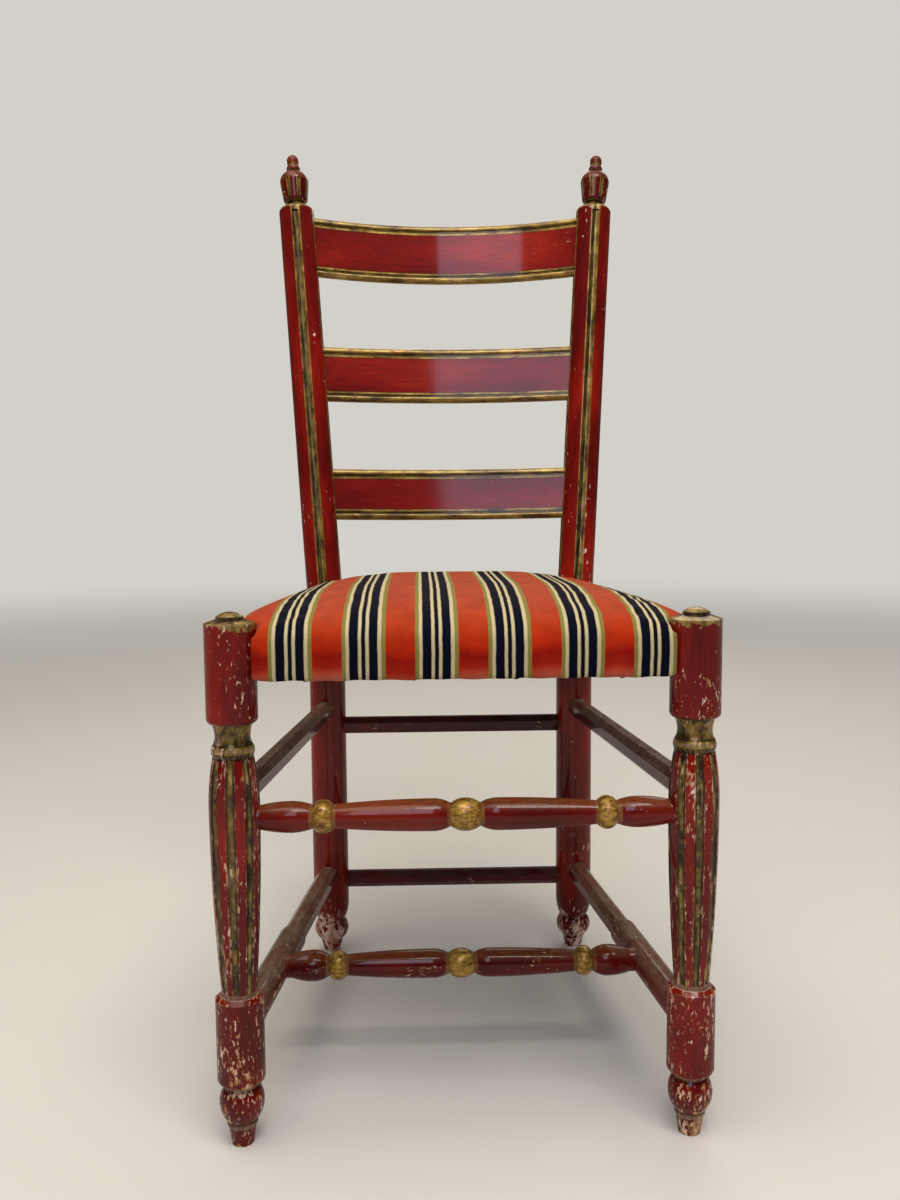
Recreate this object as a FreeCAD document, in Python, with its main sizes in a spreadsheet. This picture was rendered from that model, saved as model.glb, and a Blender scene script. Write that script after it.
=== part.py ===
import FreeCAD, Part
import math
import os
import re

import Sketcher
from FreeCAD import Placement, Rotation, Vector

# A ladder-back side chair: turned and fluted front legs, bent and fluted back posts with
# finials, three bowed slats, turned front stretchers, faceted side and back stretchers,
# and a stuffed seat under striped velvet.
# Its front faces -Y, X runs to the right of someone who looks at its front, and Z is up.
# The origin is on the floor, under the middle of the chair. Sizes are in millimetres.

sizes = {
    # The plan of the frame, between the axes of the legs
    "front_span": 388.0,
    "back_span": 298.0,
    "frame_depth": 400.0,
    # How far the frame's plan is moved so that the origin is under the middle of the chair
    "origin_shift": 250.7,
    # Fits between the parts
    "joint_fit": 0.1,
    "cloth_clearance": 0.3,
    "overrun": 5.0,
    # Every tenon stops this far from the axis of the leg that it enters
    "tenon_stop": 8.0,
    # How far the full section of a bar is let into a round leg
    "housing": 3.5,
    # Front leg, heights of its turnings from the floor up
    "leg_height": 460.0,
    "foot_tip_diameter": 19.0,
    "foot_top_diameter": 24.0,
    "foot_height": 16.5,
    "foot_bead_height": 4.0,
    "foot_bead_diameter": 26.5,
    "ball_height": 31.5,
    "ball_diameter": 38.5,
    "ball_neck_diameter": 29.0,
    "ball_neck_height": 3.0,
    "block_height": 78.5,
    "block_diameter": 41.0,
    "block_lip": 3.5,
    "block_rounding": 5.0,
    "baluster_height": 206.0,
    "baluster_bottom_diameter": 29.5,
    "baluster_diameter": 42.6,
    "baluster_top_diameter": 34.0,
    "baluster_swell_height": 162.5,
    "ring_height": 9.0,
    "ring_diameter": 36.5,
    "neck_height": 18.5,
    "neck_diameter": 29.5,
    "neck_top_diameter": 34.0,
    "cylinder_diameter": 43.0,
    "cylinder_rounding": 4.5,
    "button_height": 6.0,
    "button_diameter": 23.0,
    "button_rim": 2.0,
    "shoulder_drop": 3.5,
    "leg_flutes": 8,
    "leg_flute_radius": 5.5,
    "leg_flute_depth": 2.2,
    "leg_flute_end_depth": 1.2,
    "leg_flute_margin": 1.5,
    # Back post, with its bend and its lean above the bend
    "post_diameter": 42.5,
    "post_foot_height": 15.0,
    "post_foot_tip_diameter": 19.0,
    "post_foot_top_diameter": 27.5,
    "post_ball_height": 24.0,
    "post_ball_diameter": 41.0,
    "post_groove_diameter": 32.0,
    "post_bulge_height": 22.0,
    "bend_height": 415.0,
    "bend_radius": 250.0,
    "post_rise": 494.0,
    "post_lean": 88.0,
    "post_spread": 35.5,
    "post_shoulder": 5.0,
    "post_flutes": 4,
    "post_flute_radius": 6.0,
    "post_flute_depth": 2.5,
    "post_flute_top": 9.0,
    "post_flute_length": 474.0,
    # Finial, its turnings from the post's top up
    "finial_neck_height": 7.5,
    "finial_base_diameter": 31.0,
    "finial_neck_diameter": 18.0,
    "urn_rounding": 4.5,
    "urn_bottom_diameter": 29.5,
    "urn_height": 22.0,
    "urn_diameter": 35.0,
    "urn_cap": 13.0,
    "finial_waist_diameter": 13.0,
    "finial_bead_height": 8.5,
    "finial_bead_diameter": 16.8,
    "finial_tip_height": 13.5,
    "finial_tip_diameter": 14.6,
    "finial_pin_diameter": 10.0,
    "finial_pin_length": 22.0,
    "urn_flutes": 8,
    "urn_flute_radius": 1.6,
    "urn_flute_depth": 1.1,
    # Slats, from the top one down
    "slat_thickness": 10.0,
    "slat_bead": 7.5,
    "slat_quirk": 2.6,
    "slat_quirk_depth": 2.0,
    "slat_relief": 1.2,
    "top_slat_gap": 8.8,
    "top_slat_height": 74.6,
    "top_slat_bow": 33.0,
    "upper_slat_gap": 90.3,
    "middle_slat_height": 67.8,
    "middle_slat_bow": 15.0,
    "lower_slat_gap": 83.9,
    "lower_slat_height": 62.2,
    "lower_slat_bow": 11.0,
    # Front stretchers, turned, from the middle out
    "upper_front_height": 286.0,
    "lower_front_height": 99.6,
    "lower_front_setback": 127.0,
    "stretcher_ball_width": 25.0,
    "stretcher_ball_diameter": 28.0,
    "stretcher_baluster_length": 99.0,
    "stretcher_baluster_diameter": 27.4,
    "stretcher_thin_diameter": 20.0,
    "stretcher_swell": 15.0,
    "stretcher_bead_width": 16.5,
    "stretcher_bead_diameter": 28.5,
    "stretcher_end_diameter": 20.5,
    "stretcher_barrel_diameter": 26.5,
    "lower_front_end_diameter": 22.5,
    "lower_front_barrel_diameter": 29.5,
    "stretcher_neck_diameter": 19.5,
    "lower_front_tenon_diameter": 14.0,
    "lower_front_tenon_stop": 3.0,
    "lower_front_housing": 5.0,
    # Side and back stretchers
    "upper_side_height": 301.0,
    "upper_back_height": 279.5,
    "lower_back_height": 88.5,
    "side_bar_width": 21.5,
    "back_bar_width": 19.0,
    "bar_chamfer": 6.0,
    "bar_tenon_diameter": 14.0,
    "side_block_diameter": 28.0,
    "side_block_reach": 200.0,
    "side_block_rounding": 7.0,
    "side_score_spacing": 44.0,
    "side_score_depth": 0.9,
    # Seat frame
    "rail_drop": 22.0,
    "rail_height": 32.0,
    "rail_thickness": 22.0,
    "rail_tenon_thickness": 9.0,
    "rail_tenon_height": 22.0,
    "rail_tenon_offset": 2.5,
    "front_rail_face": 12.0,
    "side_rail_face": 8.0,
    "webbing_width": 50.0,
    "webbing_thickness": 1.5,
    "webbing_margin": 34.0,
    # Seat cover, stuffing and the cloth beneath
    "cover_thickness": 2.0,
    "cover_swell": 6.0,
    "crown_rise": 12.0,
    "cover_edge_drop": 10.0,
    "front_corner_radius": 34.0,
    "back_corner_radius": 30.0,
    "cover_tuck": 26.0,
    "dust_cloth_thickness": 1.0,
    "dust_cloth_inset": 16.0,
    "tack_head_diameter": 8.0,
    "tack_head_height": 1.6,
    "tack_shank_diameter": 1.8,
    "tack_shank_length": 11.0,
}

# Where the widest part of a ball, a neck's waist and a barrel lie along their length
leg_ball_share = 0.56
post_ball_share = 0.55
neck_share = 0.4
barrel_share = 0.42
# The seat's wall: each level's height as a share of the wall, and its inset as a share of
# the swell. Its crown: height as a share of the crown, inset as a share of half the depth.
wall_shares = ((0.0, 1.0), (0.14, 0.25), (0.48, 0.0), (0.82, 0.35), (1.0, 1.6))
crown_shares = ((0.34, 0.12), (0.66, 0.26), (0.89, 0.41), (1.0, 0.57))
# Where the webbing straps, and the tacks along each rail, lie along their run
strap_shares = (0.125, 0.375, 0.625, 0.875)
tack_shares = (0.16, 0.39, 0.61, 0.84)

doc = FreeCAD.newDocument("ladder_back_chair")
sheet = doc.addObject("Spreadsheet::Sheet", "Dims")
for row, (alias, number) in enumerate(sizes.items(), start=1):
    sheet.set("A%d" % row, alias)
    sheet.set("B%d" % row, str(number))
    sheet.setAlias("B%d" % row, alias)
doc.recompute()


# Expressions and placing

def linked(text):
    """The expression with each named size read from the sheet."""
    def from_sheet(word):
        return "Dims." + word.group() if word.group() in sizes else word.group()
    return re.sub(r"[a-z_]+", from_sheet, text)


def value(text):
    """What an expression gives now, as a plain number."""
    number = sheet.evalExpression(linked(text))
    return float(getattr(number, "Value", number))


def bind(item, name, text):
    item.setExpression(name, linked(text))


def place(item, x="0", y="0", z="0", axis=None, angle=None):
    """Put an item at named distances, turned about an axis by a positive angle."""
    turn = Rotation(Vector(*axis), value(angle)) if axis else Rotation()
    item.Placement = Placement(Vector(value(x), value(y), value(z)), turn)
    for name, text in (("x", x), ("y", y), ("z", z)):
        bind(item, "Placement.Base." + name, text)
    if axis:
        bind(item, "Placement.Rotation.Angle", angle)
    return item


def origin_feature(body, role):
    return next(item for item in body.Origin.OriginFeatures if item.Role == role)


# Sketches

def new_sketch(body, name, plane, shift=("0", "0", "0"), axis=None, angle=None):
    """A sketch on one of its body's own planes, shifted and turned within that plane."""
    sketch = body.newObject("Sketcher::SketchObject", name)
    sketch.AttachmentSupport = (origin_feature(body, plane), [""])
    sketch.MapMode = "FlatFace"
    turn = Rotation(Vector(*axis), value(angle)) if axis else Rotation()
    sketch.AttachmentOffset = Placement(Vector(*[value(text) for text in shift]), turn)
    for name, text in zip("xyz", shift):
        bind(sketch, "AttachmentOffset.Base." + name, text)
    if axis:
        bind(sketch, "AttachmentOffset.Rotation.Angle", angle)
    return sketch


def pin(sketch, edge, end, u, v):
    """Hold one end of an edge at named distances from the sketch's origin."""
    for kind, text in (("DistanceX", u), ("DistanceY", v)):
        index = sketch.addConstraint(Sketcher.Constraint(kind, -1, 1, edge, end, value(text)))
        bind(sketch, "Constraints[%d]" % index, text)


def draw(sketch, points, closed=True):
    """Lines and arcs through points, each written (u, v) for a line that ends there or
    (u, v, level) for an arc that ends there and has its centre at that level."""
    first = len(sketch.Geometry)
    here = [(value(point[0]), value(point[1])) for point in points]
    ends = []
    count = len(points) if closed else len(points) - 1
    for step in range(count):
        target = points[(step + 1) % len(points)]
        (u1, v1), (u2, v2) = here[step], here[(step + 1) % len(points)]
        if len(target) == 2:
            edge = sketch.addGeometry(Part.LineSegment(Vector(u1, v1, 0), Vector(u2, v2, 0)))
            ends.append((edge, 1, 2))
            continue
        level = value(target[2])
        centre = (u1**2 - u2**2 + (v1 - level)**2 - (v2 - level)**2) / (2 * (u1 - u2))
        radius = math.hypot(u1 - centre, v1 - level)
        start = math.atan2(v1 - level, u1 - centre)
        stop = math.atan2(v2 - level, u2 - centre)
        forward = math.sin(stop - start) > 0
        if not forward:
            start, stop = stop, start
        circle = Part.Circle(Vector(centre, level, 0), Vector(0, 0, 1), radius)
        edge = sketch.addGeometry(Part.ArcOfCircle(circle, start, stop))
        index = sketch.addConstraint(Sketcher.Constraint("DistanceY", -1, 1, edge, 3, level))
        bind(sketch, "Constraints[%d]" % index, target[2])
        ends.append((edge, 1, 2) if forward else (edge, 2, 1))
    for step, (edge, near, far) in enumerate(ends):
        pin(sketch, edge, near, *points[step][:2])
        if closed or step + 1 < count:
            following = ends[(step + 1) % len(ends)]
            sketch.addConstraint(Sketcher.Constraint("Coincident", edge, far, following[0], following[1]))
        else:
            pin(sketch, edge, far, *points[-1][:2])
    return ["Edge%d" % (edge + 1) for edge in range(first, len(sketch.Geometry))]


def ring(sketch, u, v, radius):
    """A circle whose centre and radius follow named sizes."""
    circle = Part.Circle(Vector(value(u), value(v), 0), Vector(0, 0, 1), value(radius))
    edge = sketch.addGeometry(circle)
    pin(sketch, edge, 3, u, v)
    index = sketch.addConstraint(Sketcher.Constraint("Radius", edge, value(radius)))
    bind(sketch, "Constraints[%d]" % index, radius)


# Features

def new_body(label):
    body = doc.addObject("PartDesign::Body", label)
    body.Label = label
    return body


def cap_level(radius, low, high):
    """The level of an arc's centre that lets the arc end square to the axis."""
    return "(%s + (%s - (%s) - (%s)^2 / (%s - (%s))) / 2)" % (low, high, low, radius, high, low)


def turned(body, name, points, plane="XZ_Plane", **attach):
    """A turning: an outline of radii and heights spun about its sketch's upright axis."""
    sketch = new_sketch(body, name + "_outline", plane, **attach)
    draw(sketch, points)
    feature = body.newObject("PartDesign::Revolution", name)
    feature.Profile = sketch
    feature.ReferenceAxis = (sketch, ["V_Axis"])
    return feature


def padded(body, name, points, start, length):
    """A straight bar along the body's own Y, from a start and of a length."""
    sketch = new_sketch(body, name + "_section", "XZ_Plane", ("0", "0", "0 - (%s)" % start))
    draw(sketch, points)
    feature = body.newObject("PartDesign::Pad", name)
    feature.Profile = sketch
    feature.Reversed = True
    feature.Length = value(length)
    bind(feature, "Length", length)
    return feature


def round_bar(body, name, radius, start, length):
    """A round bar or tenon along the body's own Y."""
    sketch = new_sketch(body, name + "_section", "XZ_Plane", ("0", "0", "0 - (%s)" % start))
    ring(sketch, "0", "0", radius)
    feature = body.newObject("PartDesign::Pad", name)
    feature.Profile = sketch
    feature.Reversed = True
    feature.Length = value(length)
    bind(feature, "Length", length)
    return feature


def flutes(body, name, track, radius, count, turn="0 deg"):
    """Round-bottomed flutes cut along a track beside the axis, spaced evenly round it."""
    path = new_sketch(body, name + "_track", "XZ_Plane", axis=(0, 1, 0), angle=turn)
    edges = draw(path, track, closed=False)
    section = new_sketch(body, name + "_section", "XY_Plane", ("0", "0", track[0][1]), (0, 0, 1), turn)
    ring(section, track[0][0], "0", radius)
    cut = body.newObject("PartDesign::SubtractivePipe", name + "_cut")
    cut.Profile = section
    cut.Spine = (path, edges)
    spread_round(body, name, cut, (origin_feature(body, "Z_Axis"), [""]), count)


def spread_round(body, name, feature, axis, count):
    pattern = body.newObject("PartDesign::PolarPattern", name)
    pattern.Originals = [feature]
    pattern.Axis = axis
    pattern.Angle = 360
    pattern.Occurrences = int(value(count))
    bind(pattern, "Occurrences", count)
    body.Tip = pattern


def rectangle(left, right, bottom, top):
    return [(left, bottom), (right, bottom), (right, top), (left, top)]


def octagon(width, chamfer):
    """A square section with its four corners chamfered."""
    out = "(%s) / 2" % width
    into = "((%s) / 2 - (%s))" % (width, chamfer)
    corners = [(out, into), (into, out)]
    for across, up in ((-1, 1), (-1, -1), (1, -1)):
        pair = [(out, into), (into, out)]
        if across * up < 0:
            pair.reverse()
        corners += [(sign(across) + u, sign(up) + v) for u, v in pair]
    return corners


def sign(way):
    return "" if way > 0 else "0 - "


def mirrored(half_points, half):
    """An outline that is the same to both sides of its middle, written from the middle out
    as (radius, distance) or (radius, distance, level of the arc's centre)."""
    upper = [(point[0],) + tuple("(%s) + (%s)" % (half, v) for v in point[1:]) for point in half_points]
    lower = []
    for step in range(len(half_points) - 1, -1, -1):
        point = half_points[step]
        spot = (point[0], "(%s) - (%s)" % (half, point[1]))
        after = half_points[step + 1] if step + 1 < len(half_points) else ()
        if len(after) == 3:
            spot += ("(%s) - (%s)" % (half, after[2]),)
        lower.append(spot)
    joint = half_points[0]
    if value(joint[1]) == 0:
        lower.pop()
        if len(half_points[1]) == 3:
            upper[0] += ("(%s) - (%s)" % (half, half_points[1][2]),)
    return lower + upper


def cut_from(label, base, tools):
    """The base with each of its mortises or clearances cut out."""
    tool = tools[0]
    if len(tools) > 1:
        tool = doc.addObject("Part::MultiFuse", label + "_cuts")
        tool.Shapes = tools
    piece = doc.addObject("Part::Cut", label)
    piece.Base = base
    piece.Tool = tool
    piece.Label = label
    return piece


nodes = {}


def keep(label, item):
    item.Label = label
    nodes[label] = item
    return item


sides = (("left", -1), ("right", 1))

# Places that several pieces share

FRONT_Y = "0 - origin_shift"
BACK_Y = "frame_depth - origin_shift"
SIDE_ANGLE = "atan((front_span - back_span) / 2 / frame_depth)"
SIDE_RUN = "sqrt(frame_depth^2 + ((front_span - back_span) / 2)^2)"
LEAN = "atan(post_lean / post_rise)"
BEND = "atan(sqrt(post_spread^2 + post_lean^2) / post_rise)"
POST_RUN = "sqrt(post_spread^2 + post_lean^2 + post_rise^2)"
BACK_RUN = "sqrt(post_lean^2 + post_rise^2)"
BEND_REACH = "bend_radius * tan(%s / 2)" % BEND
LEAN_WAY = "atan(post_lean / post_spread)"
RAIL_TOP = "leg_height - rail_drop"
RAIL_BOTTOM = "(leg_height - rail_drop - rail_height)"
RIM = "(leg_height - button_height - shoulder_drop)"
COVER_BOTTOM = "(%s - cover_thickness - cloth_clearance)" % RAIL_BOTTOM
COVER_EDGE = "(leg_height - cover_edge_drop)"
COVER_CROWN = "(leg_height + crown_rise)"
COVER_SIDE = "(side_rail_face + cloth_clearance + cover_thickness + cover_swell)"
COVER_FRONT = "(front_rail_face + cloth_clearance + cover_thickness + cover_swell)"
WEBBING_TOP = "(%s + 2 * webbing_thickness)" % RAIL_TOP


# Front legs, turned in one piece from foot to button

def leg_outline():
    block = "(foot_height + foot_bead_height + ball_height + ball_neck_height)"
    ball = "(foot_height + foot_bead_height)"
    baluster = "(%s + block_height)" % block
    swell = "(%s + baluster_swell_height)" % baluster
    ring_bottom = "(%s + baluster_height)" % baluster
    ring_middle = "(%s + ring_height / 2)" % ring_bottom
    neck = "(%s + ring_height)" % ring_bottom
    cylinder = "(%s + neck_height)" % neck
    bead = "(foot_height + foot_bead_height / 2)"
    button = "(leg_height - button_height + button_rim)"
    ball_middle = "(%s + ball_height * %s)" % (ball, leg_ball_share)
    waist = "(%s + neck_height * %s)" % (neck, neck_share)
    return [
        ("0", "0"),
        ("foot_tip_diameter / 2", "0"),
        ("foot_top_diameter / 2", "foot_height"),
        ("foot_bead_diameter / 2", bead, bead),
        ("foot_top_diameter / 2", ball, bead),
        ("ball_diameter / 2", ball_middle, ball_middle),
        ("ball_neck_diameter / 2", ball + " + ball_height", ball_middle),
        ("ball_neck_diameter / 2", block),
        ("block_diameter / 2", block + " + block_rounding", block + " + block_rounding"),
        ("block_diameter / 2", baluster + " - block_lip"),
        ("baluster_bottom_diameter / 2 + block_lip / 2", baluster),
        ("baluster_bottom_diameter / 2", baluster),
        ("baluster_diameter / 2", swell, swell),
        ("baluster_top_diameter / 2", ring_bottom, swell),
        ("ring_diameter / 2", ring_middle, ring_middle),
        ("baluster_top_diameter / 2", neck, ring_middle),
        ("neck_diameter / 2", waist, waist),
        ("neck_top_diameter / 2", cylinder, waist),
        ("cylinder_diameter / 2", cylinder + " + cylinder_rounding", cylinder + " + cylinder_rounding"),
        ("cylinder_diameter / 2", RIM),
        ("button_diameter / 2", "leg_height - button_height"),
        ("button_diameter / 2", button),
        ("0", "leg_height", cap_level("button_diameter / 2", button, "leg_height")),
    ]


def front_leg_turning(label, way):
    body = new_body(label + "_turning")
    turned(body, "turning", leg_outline())
    bottom = "(foot_height + foot_bead_height + ball_height + ball_neck_height + block_height)"
    swell = "(%s + baluster_swell_height)" % bottom
    top = "(%s + baluster_height)" % bottom
    outside = " + leg_flute_radius"
    track = [
        ("baluster_bottom_diameter / 2 - leg_flute_end_depth" + outside, bottom + " + leg_flute_margin"),
        ("baluster_diameter / 2 - leg_flute_depth" + outside, swell, swell),
        ("baluster_top_diameter / 2 - leg_flute_end_depth" + outside, top + " - leg_flute_margin", swell),
    ]
    flutes(body, "leg_fluting", track, "leg_flute_radius", "leg_flutes")
    return place(body, "%s(front_span / 2)" % sign(way), FRONT_Y)


# Back posts: turned feet, a bend at the seat and a fluted upper part that leans back

def post_blank(body, radius, low, high):
    """A bent round bar: straight, bent at the seat, then straight along the lean."""
    start = "(bend_height - %s)" % BEND_REACH
    lower = [("0", low), (radius, low), (radius, start), ("0", start)]
    turned(body, "lower_part", lower)
    bend_sketch = new_sketch(body, "bend_section", "XY_Plane", ("0", "0", start))
    ring(bend_sketch, "0", "0", radius)
    pivot = bend_sketch.addGeometry(Part.LineSegment(
        Vector(value("bend_radius"), 0, 0), Vector(value("bend_radius"), value("post_diameter"), 0)), True)
    pin(bend_sketch, pivot, 1, "bend_radius", "0")
    pin(bend_sketch, pivot, 2, "bend_radius", "post_diameter")
    bend = body.newObject("PartDesign::Revolution", "bend")
    bend.Profile = bend_sketch
    bend.ReferenceAxis = (bend_sketch, ["Axis0"])
    bend.Angle = value(BEND)
    bind(bend, "Angle", BEND)
    upper = [("0", BEND_REACH), (radius, BEND_REACH)] + high
    turned(body, "upper_part", upper, shift=("0", "bend_height", "0"), axis=(0, 0, -1), angle=BEND)


def back_post_turning(label, way):
    body = new_body(label + "_turning")
    top = POST_RUN
    high = [
        ("post_diameter / 2", top + " - post_shoulder"),
        ("post_diameter / 2 - post_shoulder", top, top + " - post_shoulder"),
        ("0", top),
    ]
    ball = "(post_foot_height + post_ball_height * %s)" % post_ball_share
    groove = "(post_foot_height + post_ball_height)"
    foot = [
        ("0", "0"),
        ("post_foot_tip_diameter / 2", "0"),
        ("post_foot_top_diameter / 2", "post_foot_height"),
        ("post_ball_diameter / 2", ball, ball),
        ("post_groove_diameter / 2", groove, ball),
        ("post_diameter / 2", groove + " + post_bulge_height", groove + " + post_bulge_height"),
        ("0", groove + " + post_bulge_height"),
    ]
    turned(body, "foot", foot)
    post_blank(body, "post_diameter / 2", groove + " + post_bulge_height", high)
    flute_top = "(%s - post_flute_top)" % POST_RUN
    section = new_sketch(body, "flute_end", "XY_Plane",
                         ("%s * sin(%s)" % (flute_top, BEND), "0",
                          "bend_height + %s * cos(%s)" % (flute_top, BEND)), (0, 1, 0), BEND)
    # One of the flutes faces the chair's front, whichever way this post leans
    across = "(post_diameter / 2 + post_flute_radius - post_flute_depth)"
    front_turn = "(90 deg - %s)" % LEAN_WAY
    ring(section, "%s * cos(%s)" % (across, front_turn),
         "%s%s * sin(%s)" % (sign(way), across, front_turn), "post_flute_radius")
    cut = body.newObject("PartDesign::Pocket", "flute")
    cut.Profile = section
    cut.Length = value("post_flute_length")
    bind(cut, "Length", "post_flute_length")
    spread_round(body, "post_fluting", cut, (section, ["N_Axis"]), "post_flutes")
    turn = {-1: "180 deg - %s" % LEAN_WAY, 1: LEAN_WAY}[way]
    return place(body, "%s(back_span / 2)" % sign(way), BACK_Y, "0", (0, 0, 1), turn)


def on_post(item, way, run):
    """Put an item on a post's upper axis, its own Z along the lean, at a run from the bend."""
    lean_axis = Vector(-value("post_lean"), way * value("post_spread"), 0)
    item.Placement = Placement(Vector(), Rotation(lean_axis, value(BEND)))
    along = "(%s) / %s" % (run, POST_RUN)
    bind(item, "Placement.Base.x", "%s(back_span / 2 + post_spread * %s)" % (sign(way), along))
    bind(item, "Placement.Base.y", "%s + post_lean * %s" % (BACK_Y, along))
    bind(item, "Placement.Base.z", "bend_height + post_rise * %s" % along)
    bind(item, "Placement.Rotation.Angle", BEND)
    bind(item, "Placement.Rotation.Axis.x", "0 - post_lean / sqrt(post_spread^2 + post_lean^2)")
    bind(item, "Placement.Rotation.Axis.y", "%spost_spread / sqrt(post_spread^2 + post_lean^2)" % sign(way))
    return item


# Finials, turned with a round pin that enters the top of the post

def finial(label, way):
    urn = "(finial_neck_height + urn_rounding)"
    swell = "(%s + urn_height)" % urn
    waist = "(%s + urn_cap)" % swell
    bead = "(%s + finial_bead_height / 2)" % waist
    tip = "(%s + finial_bead_height)" % waist
    ball = "(%s + finial_tip_height / 2)" % tip
    top = "(%s + finial_tip_height)" % tip
    body = new_body(label)
    turned(body, "turning", [
        ("0", "0 - finial_pin_length"),
        ("finial_pin_diameter / 2", "0 - finial_pin_length"),
        ("finial_pin_diameter / 2", "0"),
        ("finial_base_diameter / 2", "0"),
        ("finial_neck_diameter / 2", "finial_neck_height", "finial_neck_height"),
        ("urn_bottom_diameter / 2", urn, urn),
        ("urn_diameter / 2", swell),
        ("finial_waist_diameter / 2", waist, swell),
        ("finial_bead_diameter / 2", bead, bead),
        ("finial_waist_diameter / 2", tip, bead),
        ("finial_tip_diameter / 2", ball, ball),
        ("0", top, cap_level("finial_tip_diameter / 2", ball, top)),
    ])
    outside = " + urn_flute_radius - urn_flute_depth"
    flutes(body, "urn_fluting", [
        ("urn_bottom_diameter / 2" + outside, urn),
        ("urn_diameter / 2" + outside, swell),
    ], "urn_flute_radius", "urn_flutes", "180 deg / urn_flutes")
    return on_post(body, way, POST_RUN)


def finial_pin_hole(label, way):
    hole = doc.addObject("Part::Cylinder", label + "_pin_hole")
    bind(hole, "Radius", "finial_pin_diameter / 2 + joint_fit")
    bind(hole, "Height", "finial_pin_length + joint_fit + overrun")
    return on_post(hole, way, "%s - finial_pin_length - joint_fit" % POST_RUN)


# Slats: a moulded section spun about an upright axis in front of the chair, which bows them

def slat_section(bow_radius, height, grow):
    front = "(%s - slat_thickness / 2)" % bow_radius
    back = "(%s + slat_thickness / 2)" % bow_radius
    top = "(%s / 2)" % height
    if grow:
        return rectangle(front + " - joint_fit", back + " + joint_fit",
                         "0 - %s - joint_fit" % top, top + " + joint_fit")
    round_level = "(%s - slat_thickness / 2)" % top
    bead_level = "(%s - slat_bead)" % top
    panel_level = "(%s - slat_bead - slat_quirk)" % top
    quirk = front + " + slat_quirk_depth"
    panel = front + " + slat_relief"
    below = "0 - "
    return [
        (back, below + round_level, below + round_level),
        (back, round_level),
        (bow_radius, top, round_level),
        (front, round_level, round_level),
        (quirk, bead_level, round_level),
        (quirk, panel_level),
        (panel, panel_level),
        (panel, below + panel_level),
        (quirk, below + panel_level),
        (quirk, below + bead_level),
        (front, below + round_level, below + round_level),
        (bow_radius, below + top, below + round_level),
    ]


def slat(label, run, height, bow, grow=False):
    body = new_body(label)
    half = "(back_span / 2 + post_spread * (%s) / %s)" % (run, BACK_RUN)
    bow_radius = "((%s^2 + %s^2) / (2 * %s))" % (half, bow, bow)
    sketch = new_sketch(body, "section", "YZ_Plane")
    points = slat_section(bow_radius, height, grow)
    draw(sketch, points)
    band = body.newObject("PartDesign::Revolution", "bowed_band")
    band.Profile = sketch
    band.ReferenceAxis = (sketch, ["V_Axis"])
    band.Midplane = True
    reach = "(%s - tenon_stop%s)" % (half, " + joint_fit" if grow else "")
    sweep = "2 * asin(%s / %s)" % (reach, bow_radius)
    band.Angle = value(sweep)
    bind(band, "Angle", sweep)
    ahead = "(%s - %s)" % (bow_radius, bow)
    y = "%s + (%s) * post_lean / %s - %s * post_rise / %s" % (BACK_Y, run, BACK_RUN, ahead, BACK_RUN)
    z = "bend_height + (%s) * post_rise / %s + %s * post_lean / %s" % (run, BACK_RUN, ahead, BACK_RUN)
    return place(body, "0", y, z, (-1, 0, 0), LEAN)


top_run = "(%s - top_slat_gap - top_slat_height / 2)" % BACK_RUN
middle_run = "(%s - top_slat_height / 2 - upper_slat_gap - middle_slat_height / 2)" % top_run
lower_run = "(%s - middle_slat_height / 2 - lower_slat_gap - lower_slat_height / 2)" % middle_run
slat_places = (
    ("top_slat", top_run, "top_slat_height", "top_slat_bow"),
    ("middle_slat", middle_run, "middle_slat_height", "middle_slat_bow"),
    ("lower_slat", lower_run, "lower_slat_height", "lower_slat_bow"),
)


# Front stretchers, turned alike to both sides of a ball in the middle

def front_stretcher(label, barrel, end, face, ends):
    """A stretcher whose barrels taper to round ends at a face, then step down to its ends,
    written as (radius, distance) from the middle out."""
    half = ends[-1][1]
    start = "(stretcher_ball_width / 2 + stretcher_baluster_length)"
    swell = "(stretcher_ball_width / 2 + stretcher_swell)"
    bead = "(%s + stretcher_bead_width / 2)" % start
    barrel_start = "(%s + stretcher_bead_width)" % start
    barrel_swell = "(%s + (%s - %s) * %s)" % (barrel_start, face, barrel_start, barrel_share)
    profile = [
        ("stretcher_ball_diameter / 2", "0"),
        ("stretcher_neck_diameter / 2", "stretcher_ball_width / 2", "0"),
        ("stretcher_baluster_diameter / 2", swell, swell),
        ("stretcher_thin_diameter / 2", start, swell),
        ("stretcher_bead_diameter / 2", bead, bead),
        ("stretcher_neck_diameter / 2", barrel_start, bead),
        (barrel + " / 2", barrel_swell, barrel_swell),
        (end + " / 2", face, barrel_swell),
    ]
    profile += ends + [("0", half)]
    body = new_body(label)
    turned(body, "turning", [("0", "0")] + mirrored(profile, half)[1:])
    return body


def lay_across(item, half, setback, height):
    """Lay an item that runs along its own Z across the chair."""
    return place(item, "0 - %s" % half, "%s + %s" % (FRONT_Y, setback), height, (0, 1, 0), "90 deg")


def round_hole(label, diameter, half, setback, height):
    """The room that a round bar and its fit take, from one end to the other."""
    hole = doc.addObject("Part::Cylinder", label)
    reach = "(%s + joint_fit)" % half
    bind(hole, "Radius", "%s / 2 + joint_fit" % diameter)
    bind(hole, "Height", "2 * %s" % reach)
    return lay_across(hole, reach, setback, height)


UPPER_FRONT_HALF = "(front_span / 2 - tenon_stop)"
UPPER_FRONT_FACE = "(front_span / 2 - baluster_diameter / 2)"
LOWER_FRONT_AXIS = "(front_span / 2 - (front_span - back_span) / 2 * lower_front_setback / frame_depth)"
LOWER_FRONT_HALF = "(%s - lower_front_tenon_stop)" % LOWER_FRONT_AXIS
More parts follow.
